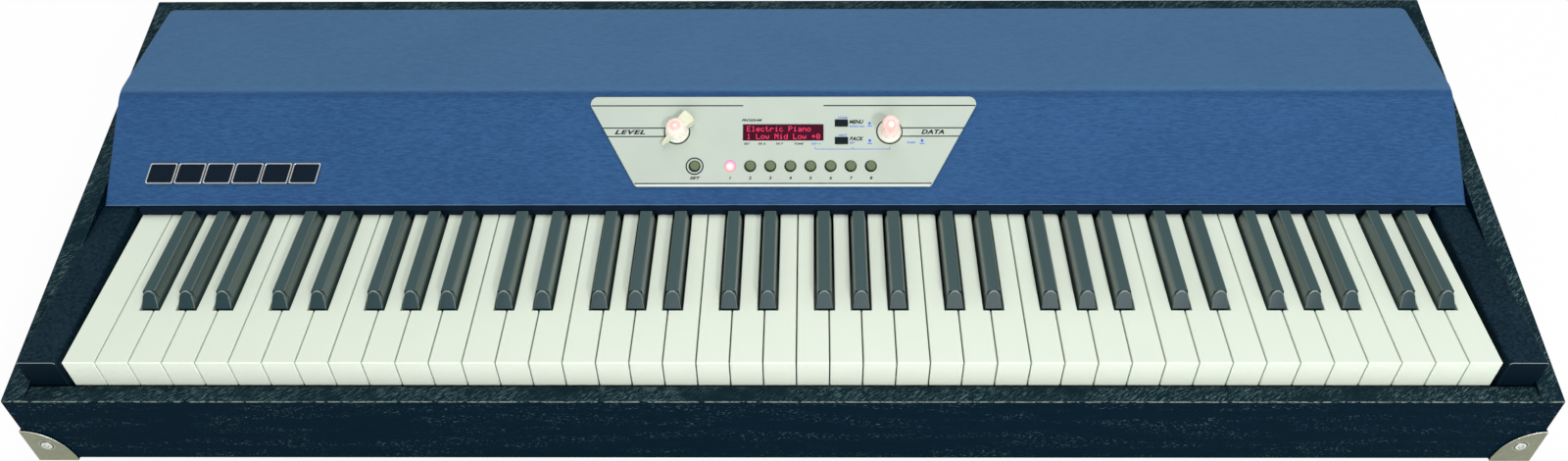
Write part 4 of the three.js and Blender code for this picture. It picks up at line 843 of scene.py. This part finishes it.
def cover():
    """Top cover: blue vinyl over a bent sheet, in the keyboard's frame. Its line goes up the slope and round
    the crease to the flat top."""
    run, rise = math.cos(SLOPE), math.sin(SLOPE)
    centre = (SLOPE_Y + run * CREASE_UP + rise * CREASE, SLOPE_Z + rise * CREASE_UP - run * CREASE)
    line = [(SLOPE_Y, SLOPE_Z)] + arc(centre, CREASE, 90 + math.degrees(SLOPE), 90, 12)
    top, end = line[-1][1], COVER_HALF - 15
    foot = [(COVER_BACK, top), (COVER_BACK, COVER_FOOT), (SLOPE_Y + FOOT_SETBACK, COVER_FOOT)]
    form = Form().prism(line + foot, -COVER_HALF, COVER_HALF, from_side)
    form.soften(BACK_ROUND, 5, lambda a, b: min(a.y, b.y) > COVER_BACK - 1 and abs(a.x - b.x) < 1)
    form.soften(END_ROUND, 4, lambda a, b: (abs(a.x) > end and abs(b.x) > end
                                            or min(a.y, b.y) > COVER_BACK - 12)
                and max(a.z, b.z) > SLOPE_Z + 0.5 and abs(a.z - b.z) < top)
    form.soften(LOW_ROUND, 4, lambda a, b: max(a.z, b.z) < SLOPE_Z + 0.6 and max(a.y, b.y) < SLOPE_Y + 0.5)
    low = [face for face in form.mesh.faces if all(v.co.z < COVER_FOOT + 0.01 for v in face.verts)]
    bmesh.ops.delete(form.mesh, geom=low, context="FACES_ONLY")
    bmesh.ops.solidify(form.mesh, geom=form.mesh.faces[:], thickness=COVER_SHEET)
    through = 30
    low_y, high_y = PANEL_LOW + PLATE_LAP, PANEL_HIGH - PLATE_LAP
    low_half, high_half = edge_at(low_y) - PLATE_LAP, edge_at(high_y) - PLATE_LAP
    opening = Form().prism([(-low_half, low_y), (low_half, low_y), (high_half, high_y), (-high_half, high_y)],
                           -through, through)
    return cut(form, opening.moved(Matrix.Translation((0, SLOPE_Y, SLOPE_Z)) @ slope_turn))


make("cover_skin", cover(), "blue_vinyl", place=body_place, replaced=("top_cover",), smooth=35)


# Outlines, and flat sheets with holes
def neighbours(points):
    """Each corner of an outline as a vector, between the one before it and the one after it."""
    vectors = [Vector(point) for point in points]
    return zip(vectors[-1:] + vectors[:-1], vectors, vectors[1:] + vectors[:1])


def rounded(points, radius, steps=4):
    """The outline with its corners rounded."""
    line = []
    for before, corner, after in neighbours(points):
        one, two = ((other - corner).normalized() for other in (before, after))
        half = one.angle(two) / 2
        reach = radius / math.tan(half)
        start, end = corner + one * reach, corner + two * reach
        centre = corner + (one + two).normalized() * (radius / math.sin(half))
        for i in range(steps + 1):
            way = (start - centre).lerp(end - centre, i / steps)
            line.append(tuple(centre + way.normalized() * radius))
    return line


def shrunk(points, distance):
    """A convex outline, counter-clockwise, moved inwards."""
    result = []
    for before, corner, after in neighbours(points):
        one, two = (corner - before).normalized(), (after - corner).normalized()
        normals = [Vector((-way.y, way.x)) for way in (one, two)]
        middle = (normals[0] + normals[1]).normalized()
        result.append(tuple(corner + middle * (distance / middle.dot(normals[0]))))
    return result


def circle(x, y, radius, sides=32):
    return arc((x, y), radius, 0, 360, sides)[:-1]


def box_outline(x, y, width, height):
    return [(x + u * width / 2, y + v * height / 2) for u, v in ((-1, -1), (1, -1), (1, 1), (-1, 1))]


def from_curve(curve, height):
    """Takes a curve's or a text's filled body into a form, and removes the curve with its holder."""
    mesh = bpy.data.meshes.new_from_object(bpy.data.objects.new("curve", curve))
    bpy.data.curves.remove(curve)
    return Form().fill(mesh).shifted(0, 0, height)


def cut_sheet(outer, holes, low, high, edge):
    """A flat sheet with holes, all its edges rounded."""
    curve = bpy.data.curves.new("sheet", "CURVE")
    curve.dimensions, curve.fill_mode = "2D", "BOTH"
    curve.extrude = (high - low) / 2 - edge
    curve.bevel_depth, curve.bevel_resolution = edge, 1
    curve.offset = -edge
    for outline in [outer] + [list(reversed(hole)) for hole in holes]:
        spline = curve.splines.new("POLY")
        spline.points.add(len(outline) - 1)
        for point, (x, y) in zip(spline.points, outline):
            point.co = (x, y, 0, 1)
        spline.use_cyclic_u = True
    return from_curve(curve, (low + high) / 2)


# Control panel
def panel_plate():
    corners = [(-PANEL_LOW_HALF, PANEL_LOW), (PANEL_LOW_HALF, PANEL_LOW),
               (PANEL_HIGH_HALF, PANEL_HIGH), (-PANEL_HIGH_HALF, PANEL_HIGH)]
    low_corners = rounded(corners, PLATE_LOW_ROUND, 3)[:8]
    high_corners = rounded(corners, PLATE_HIGH_ROUND, 6)[14:]
    holes = [circle(x, KNOB_Y, 4.6) for x in (-KNOB_X, KNOB_X)]
    holes += [circle(x, BUTTON_Y, 4.75) for x in [BANK_X] + PATCH_X]
    holes += [rounded(box_outline(MENU_X, y, 10.4, 5.9), 0.4, 2) for y in MENU_YS]
    holes.append(rounded(box_outline(0, DISPLAY_Y, DISPLAY_WIDTH, DISPLAY_HEIGHT), 0.5, 2))
    return cut_sheet(low_corners + high_corners, holes, PLATE_FACE - PLATE_SHEET, PLATE_FACE, 0.3)


make("panel_plate", panel_plate(), "panel_silver", place=slope_place, replaced=("control_panel_plate",))


def bar(form, x0, y0, x1, y1, width):
    """A printed stroke between two points."""
    way = Vector((x1 - x0, y1 - y0)).normalized() * width / 2
    form.prism([(x0 + way.y, y0 - way.x), (x1 + way.y, y1 - way.x), (x1 - way.y, y1 + way.x),
                (x0 - way.y, y0 + way.x)], PRINT_LOW, PRINT_HIGH)


def ring(form, x, y, radius, width, sides=48):
    outer, inner = circle(x, y, radius + width / 2, sides), circle(x, y, radius - width / 2, sides)
    rows = [[form.mesh.verts.new((u, v, h)) for u, v in line] for line, h in (
        (outer, PRINT_LOW), (outer, PRINT_HIGH), (inner, PRINT_HIGH), (inner, PRINT_LOW))]
    for low, high in zip(rows, rows[1:] + rows[:1]):
        for i in range(sides):
            j = (i + 1) % sides
            form.mesh.faces.new((low[i], low[j], high[j], high[i]))


CAPITAL_SHARE = 0.7


def words(form, text, x, y, height, weight=0.11, wide=1.22, spacing=1.06, lean=0.3):
    """Printed slanted letters, centred on a point, with the height of a capital."""
    letters = bpy.data.curves.new("letters", "FONT")
    letters.body, letters.align_x, letters.align_y = text, "CENTER", "CENTER"
    letters.size, letters.shear, letters.space_character = height / CAPITAL_SHARE, lean, spacing
    letters.offset = weight
    letters.extrude = (PRINT_HIGH - PRINT_LOW) / 2
    made = from_curve(letters, (PRINT_LOW + PRINT_HIGH) / 2).moved(Matrix.Diagonal((wide, 1, 1, 1)))
    form.add(made.shifted(x, y, 0))


LINE, TOP_LINE_Y, LOW_LINE_Y, STRIPE, STRIPE_Y = 0.95, 81.0, 16.8, 1.3, 15.55
LABEL_LINE, LABEL_LINES, KNOB_RING = 0.9, ((62.4, 143.6), (55.45, 139.7)), 10
LABELS_Y, PATCH_LABELS_Y, FINE_LABELS_Y = 58.9, 21.2, 49.3
BRACKET_Y, BRACKET_XS, BRACKET_LINE = 44.9, (25.5, 55, 84.3), 0.45
ARROWS = ((68.6, 65.6), (68.6, 51.4), (110.0, 51.4))


def dark_print():
    form = Form()
    for _, side in SIDES:
        bar(form, side * DISPLAY_WIDTH / 2, TOP_LINE_Y, side * (edge_at(TOP_LINE_Y) - 0.5), TOP_LINE_Y, LINE)
        for y, far in LABEL_LINES:
            near = KNOB_X + math.sqrt(KNOB_RING ** 2 - (y - KNOB_Y) ** 2)
            bar(form, side * near, y, side * far, y, LABEL_LINE)
        ring(form, side * KNOB_X, KNOB_Y, KNOB_RING, LINE)
    half = edge_at(LOW_LINE_Y) - 0.8
    bar(form, -half, LOW_LINE_Y, half, LOW_LINE_Y, LINE)
    ring(form, BANK_X, BUTTON_Y, 6.6, 1.05)
    words(form, "LEVEL", -122, LABELS_Y, 3.4, 0.2, 1.7, 1.15)
    words(form, "DATA", 118.3, LABELS_Y, 3.4, 0.2, 1.3, 1.1)
    for text, y in (("MENU", 67.3), ("BACK", 53.3)):
        words(form, text, 57.7, y, 2.9, 0.18, 0.95, 1.0)
    words(form, "SET", BANK_X, PATCH_LABELS_Y, 2.1, 0.13, 1.5)
    for i, x in enumerate(PATCH_X):
        words(form, str(i + 1), x, PATCH_LABELS_Y, 2.3, lean=0.15)
    words(form, "PROGRAM", -25.3, 68.8, 1.8)
    for x, text in ((-29, "SET"), (-17, "FX A"), (-3, "FX B"), (12, "TONE")):
        words(form, text, x, FINE_LABELS_Y, 1.5, 0.09)
    return form


def arrow(form, x, y):
    """A mark for a push: a short arrow down to a line."""
    form.prism([(x - 0.8, y + 0.5), (x - 1.5, y + 0.5), (x, y - 1.1), (x + 1.5, y + 0.5), (x + 0.8, y + 0.5),
                (x + 0.8, y + 1.7), (x - 0.8, y + 1.7)], PRINT_LOW, PRINT_HIGH)
    bar(form, x - 2, y - 1.9, x + 2, y - 1.9, 0.7)


def blue_print():
    form = Form()
    words(form, "KEY +-", 26, FINE_LABELS_Y, 1.4, 0.07)
    bar(form, BRACKET_XS[0], BRACKET_Y, BRACKET_XS[-1], BRACKET_Y, BRACKET_LINE)
    for x in BRACKET_XS:
        bar(form, x, BRACKET_Y - 0.2, x, BRACKET_Y + 1.7, BRACKET_LINE)
    for x, y in ARROWS:
        arrow(form, x, y)
    for text, x, y in (("STORE", 47, 70.8), ("HOLD ALL", 58.5, 63.7), ("NEXT", 47, 56.3),
                       ("SET", 54.5, 50.0)):
        words(form, text, x, y, 1.4, 0.07)
    words(form, "PUSH", 101, 50.2, 1.5, 0.08)
    return form


def white_stripe():
    form = Form()
    half = edge_at(STRIPE_Y) - 1.6
    bar(form, -half, STRIPE_Y, half, STRIPE_Y, STRIPE)
    return form


make("panel_print_dark", dark_print(), "printed_dark", place=slope_place)
make("panel_print_blue", blue_print(), "printed_blue", place=slope_place)
make("panel_print_white", white_stripe(), "printed_white", place=slope_place)

# Display: a dark red window with two rows of lit dots
GLYPHS = {
    "E": "##### #.... #.... ####. #.... #.... #####", "l": ".##.. ..#.. ..#.. ..#.. ..#.. ..#.. .###.",
    "e": "..... ..... .###. #...# ##### #.... .###.", "c": "..... ..... .###. #.... #.... #...# .###.",
    "t": ".#... .#... ###.. .#... .#... .#..# ..##.", "r": "..... ..... #.##. ##..# #.... #.... #....",
    "i": "..#.. ..... .##.. ..#.. ..#.. ..#.. .###.", "P": "####. #...# #...# ####. #.... #.... #....",
    "a": "..... ..... .###. ....# .#### #...# .####", "n": "..... ..... #.##. ##..# #...# #...# #...#",
    "o": "..... ..... .###. #...# #...# #...# .###.", "1": "..#.. .##.. ..#.. ..#.. ..#.. ..#.. .###.",
    "L": "#.... #.... #.... #.... #.... #.... #####", "w": "..... ..... #...# #...# #.#.# #.#.# .#.#.",
    "M": "#...# ##.## #.#.# #.#.# #...# #...# #...#", "d": "....# ....# .##.# #..## #...# #...# .####",
    "+": "..... ..#.. ..#.. ##### ..#.. ..#.. .....", "0": ".###. #...# #..## #.#.# ##..# #...# .###.",
}
DISPLAY_LINES = ("Electric Piano  ", "1 Low Mid Low +0")
GLASS_FACE = PLATE_FACE - 0.7
DOTS_LEFT, DOTS_TOP, CELL, ROW_DOWN = -28.5, DISPLAY_Y + 4.9, 3.67, 6.25
DOT_PITCH_X, DOT_PITCH_Y, DOT_WIDTH, DOT_HEIGHT = 0.60, 0.63, 0.48, 0.52


def display_dots():
    form = Form()
    for row, line in enumerate(DISPLAY_LINES):
        for column, letter in enumerate(line):
            for j, dots in enumerate(GLYPHS.get(letter, "").split()):
                for i, dot in enumerate(dots):
                    if dot == "#":
                        x = DOTS_LEFT + column * CELL + i * DOT_PITCH_X
                        y = DOTS_TOP - row * ROW_DOWN - j * DOT_PITCH_Y
                        form.prism(box_outline(x, y, DOT_WIDTH, DOT_HEIGHT), GLASS_FACE - 0.02,
                                   GLASS_FACE + 0.04)
    return form


def display_window():
    """The glass on the body of its module, and the flange that holds it behind the plate."""
    glass = box_outline(0, DISPLAY_Y, DISPLAY_WIDTH - 0.6, DISPLAY_HEIGHT - 0.6)
    flange = box_outline(0, DISPLAY_Y, DISPLAY_WIDTH + 8, DISPLAY_HEIGHT + 8)
    return Form().prism(glass, -12, GLASS_FACE).soften(0.25).prism(flange, -3, 0)


make("display_window", display_window(), "display_glass", place=slope_place, replaced=("display_module",))
make("display_dots", display_dots(), "display_dots", place=slope_place)

# Buttons, each about its own axis, with a flange behind the plate and a stem to its switch
FLANGE_BACK, CAP_OUT, MENU_OUT, STEM = -1.5, 1.3, 1.0, (1.8, -6.9, -1.6, 16)


def button_cap():
    top = PLATE_FACE + CAP_OUT
    return Form().turned([(0, FLANGE_BACK), (5.3, FLANGE_BACK), (5.3, 0), (4.1, 0), (4.1, top - 0.9),
                          (4.0, top - 0.5), (3.7, top - 0.2), (3.2, top - 0.05), (2.2, top), (0, top)],
                         40).rod(*STEM)


def menu_cap():
    form = Form().prism(box_outline(0, 0, 9.8, 5.3), FLANGE_BACK, PLATE_FACE + MENU_OUT)
    form.soften(0.5, 3, lambda a, b: max(a.z, b.z) > 0)
    return form.prism(box_outline(0, 0, 12.2, 7.7), FLANGE_BACK, 0).rod(*STEM)


def on_slope(x, y, z=0):
    return slope_place @ Matrix.Translation((x * MM, y * MM, z * MM))


for name, x in [("bank_button", BANK_X)] + [(f"patch_button_{i + 1}", x) for i, x in enumerate(PATCH_X)]:
    make(f"{name}_cap", button_cap(), "lit_button" if name == "patch_button_1" else "olive_button", name,
         place=on_slope(x, BUTTON_Y), replaced=(name,))
for name, y in zip(("menu_button", "back_button"), MENU_YS):
    make(f"{name}_cap", menu_cap(), "black_button", name, place=on_slope(MENU_X, y), replaced=(name,))

# Knobs, each about its own axis from its underside
KNOB_FOOT = 3.3
SKIRT = [(0, 1.5), (6.5, 1.5), (6.5, 0.2), (6.7, 0), (9, 0), (9.2, 0.2)]
VALUE_FLANK = [(9.2, 0.8), (9.0, 1.1), (8.6, 1.6), (7.9, 7.0), (7.2, 14.0)]
VOLUME_FLANK = [(9.2, 1.0), (8.9, 1.5), (8.3, 2.4)]


def knob(flank, dome_radius, dome_height, shaft_foot):
    """A domed cap over a hollow skirt, on its shaft."""
    dome = arc((0, dome_height), dome_radius, 0, 81, 9) + [(0, dome_height + dome_radius)]
    return Form().turned(SKIRT + flank + dome, 48).rod(3, shaft_foot, 1.6, 20)


def pointer_bar():
    """A wedge across the hub, with a raised spine that falls to its tip."""
    form, spine = Form(), Form()
    reach, half, root, low, top = 16.0, 5.7, 4.6, 0.6, 10.4
    lean = math.degrees(math.asin(half / reach))
    form.prism([(-root, 0)] + arc((0, 0), reach, -90 - lean, -90 + lean, 5) + [(root, 0)], low, top)
    form.soften(0.9, 3)
    spine.loft([[(-4.4, 0, low), (4.4, 0, low), (2.2, 0, 10.2), (-2.2, 0, 10.2)],
                [(-0.9, 15.8, low), (0.9, 15.8, low), (0.45, 15.8, 4.6), (-0.45, 15.8, 4.6)]])
    form.add(spine.soften(0.35))
    return form.moved(Matrix.Rotation(math.radians(135), 4, "Z"))


make("value_knob_cap", knob(VALUE_FLANK, 6.7, 18.4, -11.8), "frosted_knob", "value_knob",
     place=on_slope(KNOB_X, KNOB_Y, KNOB_FOOT), replaced=("value_knob",))
make("volume_knob_hub", knob(VOLUME_FLANK, 8.2, 7.6, -14), "hub_plastic", "volume_knob",
     on_slope(-KNOB_X, KNOB_Y, KNOB_FOOT), ("volume_knob",))
make("volume_knob_pointer", pointer_bar(), "cream_plastic", "volume_knob",
     on_slope(-KNOB_X, KNOB_Y, KNOB_FOOT))

# Badge: six framed tiles with black enamelled fields, left blank
TILES, TILE_LEFT, TILE_PITCH, TILE_WIDTH, TILE_SLANT, TILE_LOW, TILE_HIGH = 6, -503.9, 22.7, 21.8, 3.5, 17, 34
BADGE_FOOT, FRAME_OUT, FIELD_OUT, BACKING_OUT = 0.3, 2.2, 1.5, 0.8
BACKING = ((-502.3, 18.6), (-369, 18.6), (-365.6, 32.4), (-499, 32.4))


def badge():
    frames, fields = Form(), Form()
    for i in range(TILES):
        left = i * TILE_PITCH + TILE_LEFT
        right = left + TILE_WIDTH
        corners = [(left, TILE_LOW), (right, TILE_LOW), (right + TILE_SLANT, TILE_HIGH),
                   (left + TILE_SLANT, TILE_HIGH)]
        frames.add(cut_sheet(rounded(corners, 1.7), [rounded(shrunk(corners, 1.1), 0.9)],
                                 BADGE_FOOT, BADGE_FOOT + FRAME_OUT, 0.35))
        fields.prism(rounded(shrunk(corners, 0.9), 0.9), BADGE_FOOT, BADGE_FOOT + FIELD_OUT)
    fields.prism(BACKING, BADGE_FOOT, BADGE_FOOT + BACKING_OUT)
    return frames, fields


badge_frames, badge_fields = badge()
make("badge_frames", badge_frames, "badge_chrome", place=slope_place, replaced=("badge_plate",), smooth=60)
make("badge_fields", badge_fields, "badge_enamel", place=slope_place)

# Board behind the panel: card, standoffs, key switches, and the knobs' bodies with their bushings
CARD_FACE, CARD_SHEET, CARD_HALF, CARD_LOW, CARD_HIGH = -14.4, 1.6, 98, 22, 80
STANDOFF_XS, STANDOFF_YS, STANDOFF_TOP, POST_RADIUS = (-92, 92), (28, 74), -0.2, 3
SWITCH_TOP, PLUNGER_TOP, KNOB_BODY = -9.2, -8.0, 16


def box_on(form, x, y, width, height, low, high):
    form.add(Form().prism(box_outline(x, y, width, height), low, high).soften(0.3))


def panel_board():
    card, black, steel = Form(), Form(), Form()
    card.box((-CARD_HALF, CARD_LOW, CARD_FACE - CARD_SHEET), (CARD_HALF, CARD_HIGH, CARD_FACE))
    for x in STANDOFF_XS:
        for y in STANDOFF_YS:
            steel.rod(POST_RADIUS, CARD_FACE, STANDOFF_TOP, 6, x, y)
    for x, y in [(x, BUTTON_Y) for x in [BANK_X] + PATCH_X] + [(MENU_X, y) for y in MENU_YS]:
        box_on(black, x, y, 6, 6, CARD_FACE, SWITCH_TOP)
        black.rod(1.6, SWITCH_TOP, PLUNGER_TOP, 16, x, y)
    for x in (-KNOB_X, KNOB_X):
        box_on(steel, x, KNOB_Y, KNOB_BODY, KNOB_BODY, CARD_FACE, -12)
        body = rounded(box_outline(x, KNOB_Y, KNOB_BODY, KNOB_BODY), 1)
        steel.add(cut_sheet(body, [circle(x, KNOB_Y, 3.4)], -12, -4, 0.3))
        steel.add(cut_sheet(circle(x, KNOB_Y, 4.4), [circle(x, KNOB_Y, 3.3)], -4, 2.6, 0.2))
    return card, black, steel


for name, form, finish in zip(("panel_card", "panel_switches", "panel_standoffs"), panel_board(),
                              ("circuit_board", "connector_black", "frame_steel")):
    make(name, form, finish, place=slope_place, replaced=("control_board",) if name == "panel_card" else ())

# Rear fittings, from the middle of the recess on the connector plate's outer face. Sockets are drawn as seen
# from behind, with their height towards the viewer
rear_place = Matrix.Translation(Vector((-340.0, 174.7, 62.397)) * MM)
seen_from_behind = Matrix(((-1, 0, 0, 0), (0, 0, 1, 0), (0, 1, 0, 0), (0, 0, 0, 1)))
JACK_X, ROUND_SOCKET_X, SQUARE_SOCKET_X, INLET_X, ROCKER_X = (-10, -35, -60, -85), (22, 46), 66, 125, 97.5
PLATE_BACK, JACK_BACK, ROUND_BACK, SQUARE_BACK, RIM_OUT = -1.9, -29.8, -15.8, -15.8, 0.5
BOARD_TOP, BOARD_BACK, BOARD_LEFT, BOARD_RIGHT = -7.5, -67.8, -80, 100.5
POST_XS, POST_YS, POST_FOOT = (-72, 92.5), (-59.8, -9.8), -40.1
PIN_CIRCLE, PIN_RADIUS, PIN_ANGLES, SCREW_Y = 4.2, 0.8, (0, 45, 90, 135, 180), 10.8
JACK_SLEEVE = [(0, -26), (3.35, -26), (3.35, 2.7), (3.6, 3), (4.5, 3), (4.8, 2.7), (4.8, PLATE_BACK),
               (3.9, PLATE_BACK), (3.9, -26.6), (0, -26.6)]
SOCKET_SCREW = [(0, 0.05), (2.5, 0.05), (2.5, 0.6), (1.9, 1.1), (1.0, 1.3), (0.9, 0.7), (0, 0.7)]


def rear_board():
    card, posts = Form(), Form()
    card.box((BOARD_LEFT, BOARD_BACK, BOARD_TOP - CARD_SHEET), (BOARD_RIGHT, PLATE_BACK, BOARD_TOP))
    for x in POST_XS:
        for y in POST_YS:
            posts.rod(POST_RADIUS, POST_FOOT, BOARD_TOP - CARD_SHEET, 6, x, y)
    return card, posts


def add_jack(black, steel, x):
    black.add(cut_sheet(rounded(box_outline(x, 0, 15, 15), 0.8), [circle(x, 0, 4)],
                            JACK_BACK, PLATE_BACK, 0.3))
    steel.turned(JACK_SLEEVE, 32, x)
    steel.add(cut_sheet(circle(x, 0, 7.0, 6), [circle(x, 0, 4.9)], 0.1, 2.1, 0.3))


def add_round_socket(black, steel, x):
    ways = [math.radians(angle) for angle in PIN_ANGLES]
    pins = [circle(x + PIN_CIRCLE * math.cos(a), PIN_CIRCLE * math.sin(a), PIN_RADIUS, 12) for a in ways]
    black.add(cut_sheet(circle(x, 0, 6.9, 48), pins + [box_outline(x, -5.8, 2.4, 1.4)], -3.4, -0.2, 0.1))
    black.rod(7.6, ROUND_BACK, -3.5, 32, x)
    steel.add(cut_sheet(circle(x, 0, 7.8, 48), [circle(x, 0, 6.95, 48)], -3.5, RIM_OUT, 0.2))
    for y in (-SCREW_Y, SCREW_Y):
        steel.turned(SOCKET_SCREW, 24, x, y)


def add_square_socket(black, steel, x):
    steel.add(cut_sheet(rounded(box_outline(x, 0, 12, 11), 0.8), [box_outline(x, 0, 8.8, 7.8)],
                            SQUARE_BACK, RIM_OUT, 0.2))
    box_on(black, x, 0, 8.7, 7.7, SQUARE_BACK + 0.1, -3)
    box_on(black, x, 0.4, 5.4, 3.0, -3, 0)


def rear_sockets():
    """The sockets, and the supply block and a chip at the board's far edge."""
    black, steel = Form(), Form()
    for x in JACK_X:
        add_jack(black, steel, x)
    for x in ROUND_SOCKET_X:
        add_round_socket(black, steel, x)
    add_square_socket(black, steel, SQUARE_SOCKET_X)
    box_on(black, 52, 4.5, 40, 24, BOARD_BACK, -37.8)
    box_on(black, -83.5, -6, 18, 3.0, BOARD_BACK, -49.8)
    return black.moved(seen_from_behind), steel.moved(seen_from_behind)


def inlet_pins():
    form = Form()
    for x, y in ((-7, -2), (0, 2), (7, -2)):
        box_on(form, INLET_X + x, y, 2.2, 4.2, -14, -3.6)
    return form.moved(seen_from_behind)


def socket_numbers():
    """Plain numbers over the jacks and letters over the round sockets, printed on the connector plate."""
    form = Form()
    for text, x in zip("1234AB", JACK_X + ROUND_SOCKET_X):
        words(form, text, x, 17, 3.2, 0.1, lean=0)
    return form.shifted(0, 0, 0.03 - PRINT_LOW).moved(seen_from_behind)


for name, form, finish in zip(("rear_card", "rear_posts", "socket_bodies", "socket_rims"),
                              rear_board() + rear_sockets(),
                              ("circuit_board", "frame_steel", "connector_black", "frame_steel")):
    make(name, form, finish, place=rear_place, replaced=("main_board",) if name == "rear_card" else ())
make("inlet_pins", inlet_pins(), "frame_steel", place=rear_place)
make("socket_numbers", socket_numbers(), "printed_dark", place=rear_place)

# Mains rocker, tipped at rest: its two faces fall to a valley in the middle
ROCKER_TIP, ROCKER_AXIS_IN, ROCKER_RISE, ROCKER_HALF, VALLEY_OUT, MARK_OUT = 8, -0.7, 1.3, 9.2, 3, 5.2


def rocker_marks():
    """The plain marks for on and off, on the two slanted faces of the rocker."""
    form = Form()
    lean = math.atan2(ROCKER_RISE, ROCKER_HALF)
    for text, side in (("I", -1), ("O", 1)):
        mark = Form()
        words(mark, text, 0, 0, 4.2, 0.12, 1, lean=0)
        mark.shifted(0, 0, 0.02 - PRINT_LOW).moved(seen_from_behind)
        form.add(mark.moved(
            Matrix.Translation((-side * MARK_OUT, VALLEY_OUT + MARK_OUT * math.tan(lean), 0))
            @ Matrix.Rotation(-side * lean, 4, "Z")))
    return form


rocker_place = (rear_place @ Matrix.Translation(Vector((-ROCKER_X, ROCKER_AXIS_IN, 0)) * MM)
                @ Matrix.Rotation(math.radians(ROCKER_TIP), 4, "Z"))
make("rocker_marks", rocker_marks(), "printed_white", "power_rocker", rocker_place)

# Nodes that keep their own shape get their finish and rounded edges
NODE_ROUND, NODE_ANGLE = 0.3, 40
hidden = {name for name, node in frame["nodes"].items() if node.hide_render}
for row in frame["record"]["subparts"]:
    node = frame["nodes"][row["node"]]
    for slot in node.material_slots:
        slot.link = "OBJECT"
        slot.material = looks[row["material_slot"]]
    if row["node"] not in hidden:
        edges = node.modifiers.new("rounded edges", "BEVEL")
        edges.width, edges.segments, edges.limit_method = NODE_ROUND * MM, 2, "ANGLE"
        edges.angle_limit = math.radians(NODE_ANGLE)
